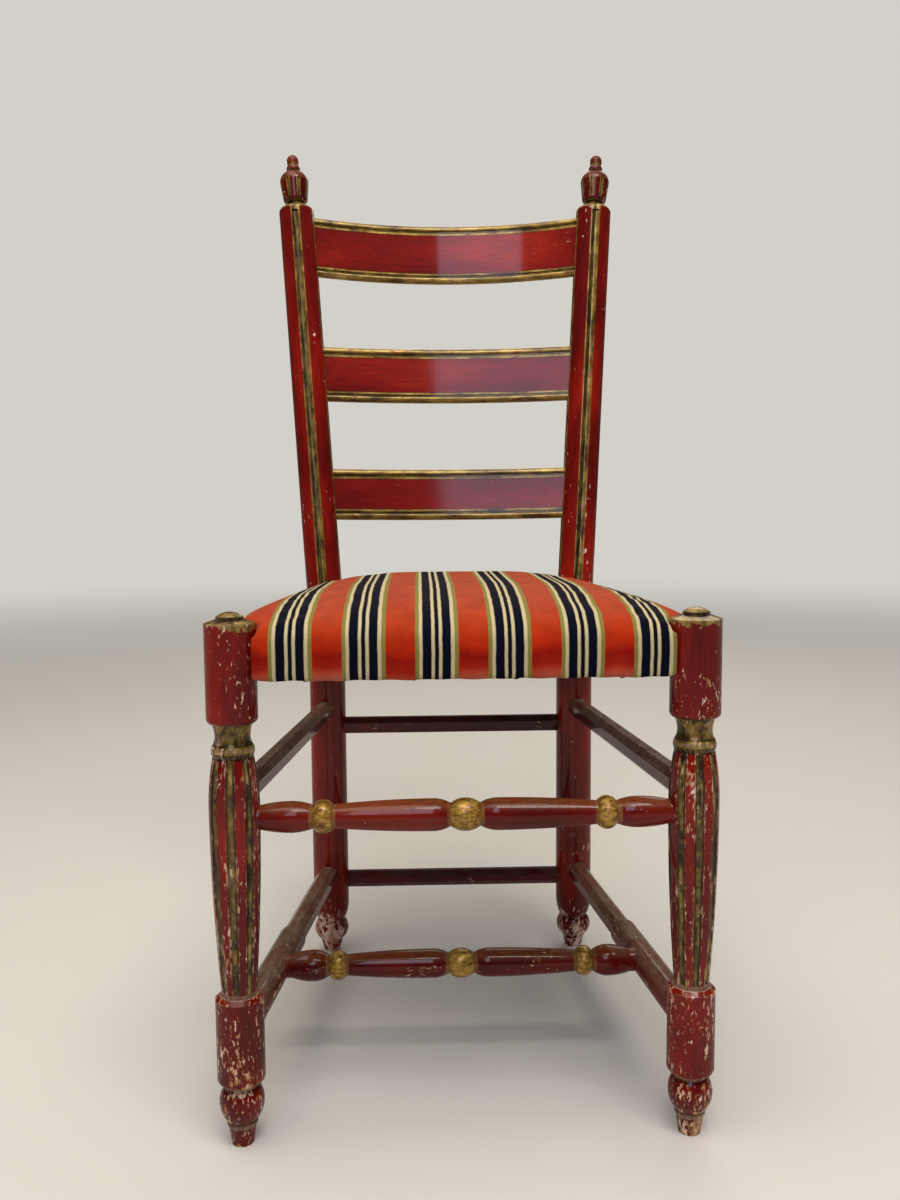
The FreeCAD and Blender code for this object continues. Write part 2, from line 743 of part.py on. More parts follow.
# The side blocks run at an angle, so the barrel ends a little before it would at a square one
BLOCK_SKEW = "(lower_front_end_diameter / 2 * (front_span - back_span) / 2 / frame_depth)"
LOWER_FRONT_FACE = "(%s - side_block_diameter / 2 - joint_fit - %s)" % (LOWER_FRONT_AXIS, BLOCK_SKEW)
LOWER_FRONT_END = "(%s - side_block_diameter / 2 + lower_front_housing)" % LOWER_FRONT_AXIS


# Side and back bars, which run along their own Y from the axis of one leg to the next

def put_along_side(item, way, height):
    turn = (0, 0, way)
    return place(item, "%s(front_span / 2)" % sign(way), FRONT_Y, height, turn, SIDE_ANGLE)


def put_along_back(item, height):
    return place(item, "0 - back_span / 2", BACK_Y, height, (0, 0, -1), "90 deg")


def put_along_front(item, height):
    return place(item, "0 - front_span / 2", FRONT_Y, height, (0, 0, -1), "90 deg")


def faceted_bar(label, width, run, near, far, grow=False, block=False):
    """A square bar with chamfered corners and a round tenon at each end. Its full section
    starts a distance after the first leg's axis and stops one before the second's."""
    fit = "joint_fit" if grow else "0"
    body = new_body(label)
    start = "(%s - %s)" % (near, fit)
    if block:
        turned_block(body, start, fit)
        start = "(side_block_reach - side_block_rounding)"
    length = "%s - (%s - %s) - %s" % (run, far, fit, start)
    padded(body, "bar", octagon("(%s + 2 * %s)" % (width, fit), "bar_chamfer"), start, length)
    stop = "(tenon_stop - %s)" % fit
    round_bar(body, "tenons", "bar_tenon_diameter / 2 + %s" % fit, stop, "%s - 2 * %s" % (run, stop))
    return body


def turned_block(body, start, fit):
    """The thick turned front part of a lower side bar, scored where the stretcher enters."""
    radius = "(side_block_diameter / 2 + %s)" % fit
    shoulder = "side_block_reach - side_block_rounding"
    points = [("0", start), (radius, start)]
    for way in (-1, 1):
        score = "lower_front_setback + (%s(side_score_spacing / 2))" % sign(way)
        points += [
            (radius, score + " - side_score_depth"),
            (radius + " - side_score_depth", score),
            (radius, score + " + side_score_depth"),
        ]
    points += [
        (radius, shoulder),
        (radius + " - side_block_rounding / 2", "side_block_reach", shoulder),
        ("0", "side_block_reach"),
    ]
    turned(body, "block", points, plane="XY_Plane")


# Seat rails: flat bars with flat tenons

def rail_parts(label, run, near, far, face, outward):
    """A rail and the room that its tenons take in the legs."""
    outer = "%s(%s)" % (sign(outward), face)
    inner = "%s(%s - rail_thickness)" % (sign(outward), face)
    tenon_outer = "%s(rail_tenon_offset + rail_tenon_thickness / 2" % sign(outward)
    tenon_inner = "%s(rail_tenon_offset - rail_tenon_thickness / 2" % sign(outward)
    low = "(rail_height - rail_tenon_height) / 2"
    high = "(rail_height + rail_tenon_height) / 2"
    body = new_body(label + "_bar")
    padded(body, "rail", rectangle(inner, outer, "0", "rail_height"), near,
           "%s - (%s) - (%s)" % (run, near, far))
    padded(body, "tenons", rectangle(tenon_inner + ")", tenon_outer + ")", low, high),
           "tenon_stop", "%s - 2 * tenon_stop" % run)
    room = new_body(label + "_room")
    padded(room, "mortises", rectangle(
        tenon_inner + " - joint_fit)", tenon_outer + " + joint_fit)",
        low + " - joint_fit", high + " + joint_fit"),
        "tenon_stop - joint_fit", "%s - 2 * (tenon_stop - joint_fit)" % run)
    return body, room


# Seat: webbing, stuffing, cover, the cloth beneath and the tacks that hold it

def seat_outline(inset, front_radius, back_radius):
    """The seat's plan, drawn in by an inset: four sides and four round corners."""
    side = "(%s - (%s))" % (COVER_SIDE, inset)
    front = "(0 - %s + (%s))" % (COVER_FRONT, inset)
    back = "(frame_depth + %s - (%s))" % (COVER_SIDE, inset)
    slope = "((front_span - back_span) / 2 / frame_depth)"
    across = "cos(%s)" % SIDE_ANGLE
    along = "sin(%s)" % SIDE_ANGLE

    def centre_x(centre_y, radius):
        return "(front_span / 2 + (%s - %s) / %s - %s * %s)" % (side, radius, across, centre_y, slope)

    front_y = "(%s + %s)" % (front, front_radius)
    back_y = "(%s - %s)" % (back, back_radius)
    front_x = centre_x(front_y, front_radius)
    back_x = centre_x(back_y, back_radius)
    front_side_x = "(%s + %s * %s)" % (front_x, front_radius, across)
    back_side_x = "(%s + %s * %s)" % (back_x, back_radius, across)
    front_side_y = "(%s + %s * %s)" % (front_y, front_radius, along)
    back_side_y = "(%s + %s * %s)" % (back_y, back_radius, along)
    right = [
        (front_x, front),
        (front_side_x, front_side_y, front_y),
        (back_side_x, back_side_y),
        (back_x, back, back_y),
    ]
    left = [
        ("0 - " + back_x, back),
        ("0 - " + back_side_x, back_side_y, back_y),
        ("0 - " + front_side_x, front_side_y),
        ("0 - " + front_x, front, front_y),
    ]
    return right + left


def cushion(label, gap):
    """A closed solid of the seat's form, drawn in and lowered by a gap: walls that are drawn
    in below and swell out in the middle, and a crown."""
    body = new_body(label)
    low = "(%s + %s)" % (COVER_BOTTOM, gap)
    edge = "(%s - %s)" % (COVER_EDGE, gap)
    crown = "(%s - %s)" % (COVER_CROWN, gap)
    levels = [("%s + (%s - %s) * %s" % (low, edge, low, rise), "%s + cover_swell * %s" % (gap, inset))
              for rise, inset in wall_shares]
    levels += [("%s + (%s - %s) * %s" % (edge, crown, edge, rise), "%s + frame_depth / 2 * %s" % (gap, inset))
               for rise, inset in crown_shares]
    sketches = []
    for number, (height, inset) in enumerate(levels):
        sketch = new_sketch(body, "level_%d" % number, "XY_Plane", ("0", "0", height))
        draw(sketch, seat_outline(inset, "front_corner_radius", "back_corner_radius"))
        sketches.append(sketch)
    loft = body.newObject("PartDesign::AdditiveLoft", "form")
    loft.Profile = sketches[0]
    loft.Sections = sketches[1:]
    return place(body, "0", FRONT_Y)


def slab(label, inset, low, high, front_radius="front_corner_radius", back_radius="back_corner_radius"):
    """A flat slab of the seat's plan between two heights."""
    body = new_body(label)
    sketch = new_sketch(body, "plan", "XY_Plane", ("0", "0", low))
    draw(sketch, seat_outline(inset, front_radius, back_radius))
    pad = body.newObject("PartDesign::Pad", "slab")
    pad.Profile = sketch
    height = "%s - (%s)" % (high, low)
    pad.Length = value(height)
    bind(pad, "Length", height)
    return place(body, "0", FRONT_Y)


def leg_room(label, way):
    """The room round a front leg's cylinder, which the cover and stuffing are cut back from."""
    room = doc.addObject("Part::Cylinder", label)
    bottom = "leg_height / 2"
    bind(room, "Radius", "cylinder_diameter / 2 + cloth_clearance")
    bind(room, "Height", "%s + overrun - %s" % (COVER_CROWN, bottom))
    return place(room, "%s(front_span / 2)" % sign(way), FRONT_Y, bottom)


def post_room(label, way):
    """The room round a back post, through its bend."""
    radius = "(post_diameter / 2 + cloth_clearance)"
    body = new_body(label)
    top = "(%s + bend_height / 2)" % BEND_REACH
    post_blank(body, radius, "(bend_height / 2)", [(radius, top), ("0", top)])
    turn = {-1: "180 deg - %s" % LEAN_WAY, 1: LEAN_WAY}[way]
    return place(body, "%s(back_span / 2)" % sign(way), BACK_Y, "0", (0, 0, 1), turn)


def strap(name, x, y, z, long, wide):
    box = doc.addObject("Part::Box", name)
    for side, text in (("Length", long), ("Width", wide), ("Height", "webbing_thickness")):
        bind(box, side, text)
    return place(box, x, y, z)


def rail_x(share):
    """How far out a side rail's outer face is, at a share of the way back."""
    return "(front_span / 2 - (front_span - back_span) / 2 * %s + side_rail_face)" % share


def webbing():
    straps = []
    half_gap = "(back_span / 2 - webbing_margin)"
    for number, share in enumerate(strap_shares, start=1):
        half = "(%s - side_rail_face)" % rail_x(share)
        y = "%s + frame_depth * %s - webbing_width / 2" % (FRONT_Y, share)
        straps.append(strap("cross_strap_%d" % number, "0 - " + half, y, RAIL_TOP,
                            "2 * " + half, "webbing_width"))
        x = "%s * (2 * %s - 1) - webbing_width / 2" % (half_gap, share)
        straps.append(strap("long_strap_%d" % number, x, "%s - front_rail_face" % FRONT_Y,
                            RAIL_TOP + " + webbing_thickness", "webbing_width",
                            "frame_depth + front_rail_face + side_rail_face"))
    group = doc.addObject("Part::Compound", "seat_webbing")
    group.Links = straps
    return group


def tack_places():
    """Where the tacks stand: along the middle of each rail's underside."""
    front_y = "%s - front_rail_face + rail_thickness / 2" % FRONT_Y
    back_y = "%s + side_rail_face - rail_thickness / 2" % BACK_Y
    spots = []
    for share in tack_shares:
        spots.append(("front_span * (%s - 1 / 2)" % share, front_y))
        spots.append(("back_span * (%s - 1 / 2)" % share, back_y))
        for way in (-1, 1):
            out = "(%s - rail_thickness / 2)" % rail_x(share)
            spots.append((sign(way) + out, "%s + frame_depth * %s" % (FRONT_Y, share)))
    return spots


TACK_TOP = "(%s - dust_cloth_thickness)" % COVER_BOTTOM


def tack(number, x, y):
    head = doc.addObject("Part::Cone", "tack_head_%d" % number)
    bind(head, "Radius1", "tack_head_diameter / 4")
    bind(head, "Radius2", "tack_head_diameter / 2")
    bind(head, "Height", "tack_head_height")
    place(head, x, y, TACK_TOP + " - tack_head_height")
    shank = doc.addObject("Part::Cylinder", "tack_shank_%d" % number)
    bind(shank, "Radius", "tack_shank_diameter / 2")
    bind(shank, "Height", "tack_shank_length")
    place(shank, x, y, TACK_TOP)
    whole = doc.addObject("Part::MultiFuse", "tack_%d" % number)
    whole.Shapes = [head, shank]
    return whole


def tack_hole(number, x, y):
    hole = doc.addObject("Part::Cylinder", "tack_hole_%d" % number)
    bind(hole, "Radius", "tack_shank_diameter / 2 + joint_fit")
    bind(hole, "Height", "tack_shank_length + joint_fit + overrun")
    return place(hole, x, y, TACK_TOP + " - overrun")


# Build the pieces, then let each into the next

front_bar = front_stretcher(
    "upper_front_stretcher", "stretcher_barrel_diameter", "stretcher_end_diameter", UPPER_FRONT_FACE,
    [("stretcher_end_diameter / 2", UPPER_FRONT_HALF)])
lay_across(front_bar, UPPER_FRONT_HALF, "0", "upper_front_height")
keep("upper_front_stretcher", front_bar)
front_bar_room = round_hole("upper_front_room", "stretcher_end_diameter", UPPER_FRONT_HALF,
                            "0", "upper_front_height")

low_bar = front_stretcher(
    "lower_front_stretcher", "lower_front_barrel_diameter", "lower_front_end_diameter", LOWER_FRONT_FACE,
    [("lower_front_end_diameter / 2", LOWER_FRONT_END), ("lower_front_tenon_diameter / 2", LOWER_FRONT_END),
     ("lower_front_tenon_diameter / 2", LOWER_FRONT_HALF)])
lay_across(low_bar, LOWER_FRONT_HALF, "lower_front_setback", "lower_front_height")
keep("lower_front_stretcher", low_bar)
low_bar_rooms = [
    round_hole("lower_front_room", "lower_front_end_diameter", LOWER_FRONT_END,
               "lower_front_setback", "lower_front_height"),
    round_hole("lower_front_tenon_room", "lower_front_tenon_diameter", LOWER_FRONT_HALF,
               "lower_front_setback", "lower_front_height"),
]

leg_face = "(baluster_diameter / 2 - housing)"
block_face = "(block_diameter / 2 - housing)"
post_face = "(post_diameter / 2 - housing)"
back_bars = {}
back_rooms = []
for level in ("upper", "lower"):
    label = level + "_back_stretcher"
    height = level + "_back_height"
    bar = faceted_bar(label, "back_bar_width", "back_span", post_face, post_face)
    keep(label, put_along_back(bar, height))
    room = faceted_bar(label + "_room", "back_bar_width", "back_span", post_face, post_face, grow=True)
    back_rooms.append(put_along_back(room, height))

slat_rooms = []
for label, run, height, bow in slat_places:
    keep(label, slat(label, run, height, bow))
    slat_rooms.append(slat(label + "_room", run, height, bow, grow=True))

leg_shoulder = "cylinder_diameter / 2 + joint_fit"
post_shoulder_at = "post_diameter / 2 + joint_fit"
tack_spots = tack_places()
tacks = [tack(number, x, y) for number, (x, y) in enumerate(tack_spots, start=1)]
tack_holes = doc.addObject("Part::MultiFuse", "tack_holes")
tack_holes.Shapes = [tack_hole(number, x, y) for number, (x, y) in enumerate(tack_spots, start=1)]
tack_group = doc.addObject("Part::Compound", "seat_tacks")
tack_group.Links = tacks
keep("seat_tacks", tack_group)

front_rail, front_rail_room = rail_parts("seat_rail_front", "front_span", leg_shoulder, leg_shoulder,
                                         "front_rail_face", 1)
put_along_front(front_rail, RAIL_BOTTOM)
put_along_front(front_rail_room, RAIL_BOTTOM)
keep("seat_rail_front", cut_from("seat_rail_front", front_rail, [tack_holes]))
back_rail, back_rail_room = rail_parts("seat_rail_back", "back_span", post_shoulder_at, post_shoulder_at,
                                       "side_rail_face", -1)
put_along_back(back_rail, RAIL_BOTTOM)
put_along_back(back_rail_room, RAIL_BOTTOM)
keep("seat_rail_back", cut_from("seat_rail_back", back_rail, [tack_holes]))

for name, way in sides:
    side_room = []
    label = "upper_side_stretcher_" + name
    bar = faceted_bar(label, "side_bar_width", SIDE_RUN, leg_face, post_face)
    keep(label, put_along_side(bar, way, "upper_side_height"))
    room = faceted_bar(label + "_room", "side_bar_width", SIDE_RUN, leg_face, post_face, grow=True)
    side_room.append(put_along_side(room, way, "upper_side_height"))

    label = "lower_side_stretcher_" + name
    bar = faceted_bar(label + "_bar", "side_bar_width", SIDE_RUN, block_face, post_face, block=True)
    put_along_side(bar, way, "lower_front_height")
    keep(label, cut_from(label, bar, low_bar_rooms))
    room = faceted_bar(label + "_room", "side_bar_width", SIDE_RUN, block_face, post_face,
                       grow=True, block=True)
    side_room.append(put_along_side(room, way, "lower_front_height"))

    label = "seat_rail_" + name
    bar, room = rail_parts(label, SIDE_RUN, leg_shoulder, post_shoulder_at, "side_rail_face", way)
    put_along_side(bar, way, RAIL_BOTTOM)
    keep(label, cut_from(label, bar, [tack_holes]))
    side_room.append(put_along_side(room, way, RAIL_BOTTOM))

    leg = front_leg_turning("front_leg_" + name, way)
    leg_cuts = side_room + [front_bar_room, front_rail_room]
    keep("front_leg_" + name, cut_from("front_leg_" + name, leg, leg_cuts))

    post = back_post_turning("back_post_" + name, way)
    pin_hole = finial_pin_hole("back_post_" + name, way)
    post_cuts = side_room + back_rooms + slat_rooms + [back_rail_room, pin_hole]
    keep("back_post_" + name, cut_from("back_post_" + name, post, post_cuts))
    keep("finial_" + name, finial("finial_" + name, way))

keep("seat_webbing", webbing())

leg_rooms = [leg_room("leg_room_" + name, way) for name, way in sides]
leg_rooms += [post_room("post_room_" + name, way) for name, way in sides]
outer_form = cushion("cover_outside", "0")
inner_form = cushion("cover_inside", "cover_thickness")
below_cover = "%s - overrun" % COVER_BOTTOM
opening = slab("cover_opening", "cover_tuck", below_cover, "(%s + cover_thickness + overrun)" % COVER_BOTTOM)
keep("seat_cover", cut_from("seat_cover", outer_form, [inner_form, opening, tack_holes] + leg_rooms))

stuffing_form = cushion("stuffing_form", "(cover_thickness + cloth_clearance)")
frame_room = slab("frame_room", "cover_thickness + cover_swell", below_cover,
                  "(%s + cloth_clearance)" % WEBBING_TOP, "cylinder_diameter / 2", "post_diameter / 2")
keep("seat_stuffing", cut_from("seat_stuffing", stuffing_form, [frame_room] + leg_rooms))

cloth = slab("dust_cloth_plan", "dust_cloth_inset", TACK_TOP, COVER_BOTTOM)
keep("dust_cloth", cut_from("dust_cloth", cloth, [tack_holes] + leg_rooms))

doc.recompute()

faults = [item.Name for item in doc.Objects if {"Invalid", "Error"} & set(item.State)]
faults += [label for label, item in nodes.items() if item.Shape.isNull() or not item.Shape.isValid()]
if faults:
    raise RuntimeError("These did not build: %s" % ", ".join(faults))

os.makedirs("parts", exist_ok=True)
for label, item in nodes.items():
    item.Shape.exportStep("parts/%s.step" % label)
    print("%-28s %d solids, %.1f cm3" % (label, len(item.Shape.Solids), item.Shape.Volume / 1000))
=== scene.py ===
# %% [markdown]
# # A painted ladder-back chair with a striped velvet seat
# The chair is turned and joined from wood, painted deep red over gesso, gilded on its
# mouldings and rubbed by long use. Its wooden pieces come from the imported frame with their
# true shapes, so here they get their finish. The stuffed seat is made new, as cloth.

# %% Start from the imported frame
import math

import bmesh
import bpy
from mathutils import Matrix, Vector


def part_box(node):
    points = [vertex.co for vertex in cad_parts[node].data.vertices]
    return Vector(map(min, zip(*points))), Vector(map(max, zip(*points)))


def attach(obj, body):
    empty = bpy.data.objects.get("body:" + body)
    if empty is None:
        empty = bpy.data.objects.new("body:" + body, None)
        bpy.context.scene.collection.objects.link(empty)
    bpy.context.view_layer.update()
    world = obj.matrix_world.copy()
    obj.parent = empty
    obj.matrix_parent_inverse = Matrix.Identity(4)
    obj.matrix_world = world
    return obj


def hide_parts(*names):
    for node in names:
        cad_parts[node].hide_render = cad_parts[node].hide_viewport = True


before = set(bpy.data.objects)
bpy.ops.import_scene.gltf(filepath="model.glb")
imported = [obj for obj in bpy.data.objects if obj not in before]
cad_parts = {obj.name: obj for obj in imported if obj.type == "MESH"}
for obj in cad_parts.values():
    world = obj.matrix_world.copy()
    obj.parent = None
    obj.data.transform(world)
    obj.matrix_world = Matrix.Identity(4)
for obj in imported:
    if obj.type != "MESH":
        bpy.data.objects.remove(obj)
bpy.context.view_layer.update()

scene = bpy.context.scene
MM = 0.001

# %% [markdown]
# Colours are written as the hex values that a paint chart or a colour picker gives. Blender
# works with linear light, so one function turns a hex value to linear.
#
# A material is a tree of nodes, and one small function adds a node to it. The inputs are given
# by name or in the node's own order, and each may be a plain value, a node or a node's output.

# %% Colour, node and finish helpers


def paint_chip(code):
    """A hex sRGB colour as linear red, green, blue and alpha."""
    parts = [int(code[at:at + 2], 16) / 255 for at in (1, 3, 5)]
    linear = [part / 12.92 if part <= 0.04045 else ((part + 0.055) / 1.055) ** 2.4 for part in parts]
    return (*linear, 1.0)


def add(tree, kind, inputs=(), operation=None, **settings):
    """Add a shader node with its settings, and set or link its inputs."""
    new = tree.nodes.new("ShaderNode" + kind)
    if operation:
        new.operation = operation
    for name, choice in settings.items():
        setattr(new, name, choice)
    named = inputs.items() if isinstance(inputs, dict) else enumerate(inputs)
    for name, source in named:
        usable = [socket for socket in new.inputs if socket.enabled]
        target = usable[name] if isinstance(name, int) else next(s for s in usable if s.name == name)
        if isinstance(source, bpy.types.Node):
            source = next(socket for socket in source.outputs if socket.enabled)
        if isinstance(source, bpy.types.NodeSocket):
            tree.links.new(source, target)
        else:
            target.default_value = source
    return new


def set_stops(ramp, stops, interpolation="LINEAR"):
    """Write a colour ramp's stops as (position, hex colour)."""
    (first, first_code), *others = stops
    ramp.color_ramp.interpolation = interpolation
    elements = ramp.color_ramp.elements
    while len(elements) > 1:
        elements.remove(elements[-1])
    elements[0].position, elements[0].color = first, paint_chip(first_code)
    for position, code in others:
        elements.new(position).color = paint_chip(code)
    return ramp


def new_material(name):
    """An empty material, its tree, and the point on the object that its patterns follow."""
    material = bpy.data.materials.new(name)
    material.use_nodes = True
    tree = material.node_tree
    tree.nodes.clear()
    return material, tree, add(tree, "TexCoord").outputs["Object"]


def finish_node(node, material):
    """Give a CAD node one material."""
    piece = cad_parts[node]
    piece.data.materials.clear()
    piece.data.materials.append(material)


# %% [markdown]
# The camera stands where the photographer stood: 0.9 m in front of the seat, a few centimetres
# left of the middle and a little above the seat. Its lens is given in rows of the upright 900
# by 1200 picture: a thing as tall as it is far away would fill 1077.8 of them.

# %% The camera
PICTURE_ROWS = 1200
LENS_ROWS = 1077.8
FILM_HEIGHT = 24.0
CAMERA_PLACE = Vector((-0.0368, -1.1395, 0.5514))
CAMERA_YAW = 0.0281
CAMERA_PITCH = 0.0938
CAMERA_ROLL = -0.0076

forward = Vector((
    math.sin(CAMERA_YAW) * math.cos(CAMERA_PITCH),
    math.cos(CAMERA_YAW) * math.cos(CAMERA_PITCH),
    -math.sin(CAMERA_PITCH),
))
level_right = Vector((math.cos(CAMERA_YAW), -math.sin(CAMERA_YAW), 0))
level_up = level_right.cross(forward)
right = math.cos(CAMERA_ROLL) * level_right + math.sin(CAMERA_ROLL) * level_up
up = right.cross(forward)
camera_data = bpy.data.cameras.new("photo_camera")
camera_data.sensor_fit = "VERTICAL"
camera_data.sensor_height = FILM_HEIGHT
camera_data.lens = LENS_ROWS / PICTURE_ROWS * FILM_HEIGHT
camera = bpy.data.objects.new("photo_camera", camera_data)
scene.collection.objects.link(camera)
turn = Matrix((right, up, -forward)).transposed().to_4x4()
camera.matrix_world = Matrix.Translation(CAMERA_PLACE) @ turn
scene.camera = camera
print("lens:", round(camera_data.lens, 2), "mm")

# %% [markdown]
# The light is that of a plain room. A bright ceiling and two large soft lamps light the chair
# from above and in front, and a weaker one lights its back. The walls are dimmer, so that the
# glossy paint stays deep. A dim window above the camera, a little to its left, is there for its
# reflection: the slats lean back and mirror it as a pale patch to the right of their middle.

# %% The light
WALL_LIGHT = (0.55, "#5a5753")       # how steeply a ray rises where the wall ends, and its light
CEILING_LIGHT = (0.95, "#f0ece4")
ROOM_STRENGTH = 0.9
BACKDROP = "#d3d0ca"
LAMPS = (
    # name, place, aim, width, height, watts, colour
    ("overhead_lamp", (-0.5, -0.6, 2.7), (0, 0, 0.4), 2.0, 1.6, 34, "#fff6ea"),
    ("front_lamp", (0.5, -1.5, 3.0), (0, 0, 0.5), 1.4, 0.8, 42, "#fffaf2"),
    ("window_lamp", (-0.28, -2.45, 2.2), (0, 0.2, 0.7), 0.84, 1.7, 24, "#dfe4ff"),
    ("back_lamp", (0.7, 2.4, 2.3), (0, 0, 0.5), 2.0, 1.4, 20, "#fffaf2"),
)

scene.view_settings.view_transform = "Standard"
world = bpy.data.worlds.new("room_light")
scene.world = world
world.use_nodes = True
tree = world.node_tree
tree.nodes.clear()
direction = add(tree, "TexCoord").outputs["Generated"]
rising = add(tree, "SeparateXYZ", [direction]).outputs["Z"]
room_shade = set_stops(add(tree, "ValToRGB", [rising]), [WALL_LIGHT, CEILING_LIGHT])
room = add(tree, "Background", [room_shade, ROOM_STRENGTH])
backdrop = add(tree, "Background", [paint_chip(BACKDROP), 1.0])
seen = add(tree, "LightPath").outputs["Is Camera Ray"]
add(tree, "OutputWorld", [add(tree, "MixShader", [seen, room, backdrop])])

for name, place, aim, width, height, watts, colour in LAMPS:
    data = bpy.data.lights.new(name, "AREA")
    data.shape = "RECTANGLE"
    data.size = width
    data.size_y = height
    data.energy = watts
    data.color = paint_chip(colour)[:3]
    lamp = bpy.data.objects.new(name, data)
    lamp.location = place
    lamp.rotation_euler = (Vector(aim) - Vector(place)).to_track_quat("-Z", "Y").to_euler()
    scene.collection.objects.link(lamp)
print("lamps:", len(LAMPS))

# %% [markdown]
# The floor is a plain pale sheet. Far from the chair it takes on the backdrop's own colour, as
# a studio's curved paper sweep does, so that no line marks where it ends.

# %% The floor
FLOOR_SIZE = 16.0
SWEEP_FROM, SWEEP_TO = 1.6, 6.5
bpy.ops.object.select_all(action="DESELECT")
bpy.ops.mesh.primitive_plane_add(size=FLOOR_SIZE, location=(0, 0, 0))
floor = bpy.context.object
floor.name = "floor"
floor_paint, tree, point = new_material("pale_paper_sweep")
away = add(tree, "VectorMath", [point], "LENGTH").outputs["Value"]
sweep = add(tree, "MapRange", [away, SWEEP_FROM, SWEEP_TO], interpolation_type="SMOOTHSTEP")
paper = add(tree, "BsdfPrincipled", {"Base Color": paint_chip("#cfcbc4"), "Roughness": 0.75})
distant = add(tree, "Emission", [paint_chip(BACKDROP), 1.0])
add(tree, "OutputMaterial", [add(tree, "MixShader", [sweep, paper, distant])])
floor.data.materials.append(floor_paint)

# %% [markdown]
# ## Where the parts of each piece lie
# The finishes follow the turnings, so they need to know where each piece's axis is.
# These places are read from the frame's own boxes, or are the chair's own sizes.

# %% Places on the chair
leg_low, leg_high = (Vector(corner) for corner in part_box("front_leg_right"))
LEG_X = (leg_low.x + leg_high.x) / 2
LEG_Y = (leg_low.y + leg_high.y) / 2
POST_RADIUS = 21.25 * MM
post_low, post_high = (Vector(corner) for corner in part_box("back_post_right"))
POST_X = post_low.x + POST_RADIUS
POST_Y = post_low.y + POST_RADIUS
BEND_Z = 415 * MM
POST_LEAN = Vector((35.5, 88.0, 494.0)) * MM
BACK_ANGLE = math.atan2(POST_LEAN.y, POST_LEAN.z)
SIDE_SLOPE = (LEG_X - POST_X) / (POST_Y - LEG_Y)
print("leg axis", round(LEG_X, 4), round(LEG_Y, 4), "post axis", round(POST_X, 4), round(POST_Y, 4))

# %% [markdown]
# ## The old paint
# Every wooden piece has the same layers. Beech was sealed with gesso, a chalky pink-white
# ground, then painted in a deep red oil colour that has darkened and taken a soft gloss. Where
# hands, feet and brooms rub, the red is gone to the gesso or the tan wood. The mouldings carry
# gold leaf, and in the hollows the leaf and the red are darkened to brown, as grime and as
# painted shade.
#
# One function mixes these layers. It takes the point on the piece in millimetres, drawn out
# along the piece's length so that wear runs along the grain. A piece's own masks say where it
# is gilt, dark, dusty or worn. The dark mask is partly painted shade, in the quirks of the slats
# and on one wall of each post flute, and the dusty mask is partly painted top light, on the
# upper facets of the stretchers. Wear is a threshold: noise, sharp edges and the wear mask add
# up, and where the sum passes the limit the paint is chipped off.

# %% The old paint
RED = ("#4a0706", "#6c0d08", "#8c180c")
DULL_LEAF = ("#2a200f", "#54411c", "#7d662f", "#998040", "#bda268")
BRIGHT_LEAF = ("#3a1c0c", "#6e4a20", "#977532", "#b48f3e", "#d0b268")
TAN_GESSO = ("#85562f", "#ae8258", "#c6a080", "#dcc3aa")
PALE_GESSO = ("#a8705c", "#c29a88", "#d6b8aa", "#e4d0c6")
FLAKE = 2.8
FLAKE_GROUP = 25.0
STREAK_WIDTH = 2.4
TONE_PATCH = 55.0
LEAF_PATCH = {DULL_LEAF: 9.0, BRIGHT_LEAF: 3.5}
GRIME_AND_SHADE_REACH = 5 * MM
EDGE_RADIUS = 1.3 * MM
SEED_STEP = (37.1, 11.3, 5.7)


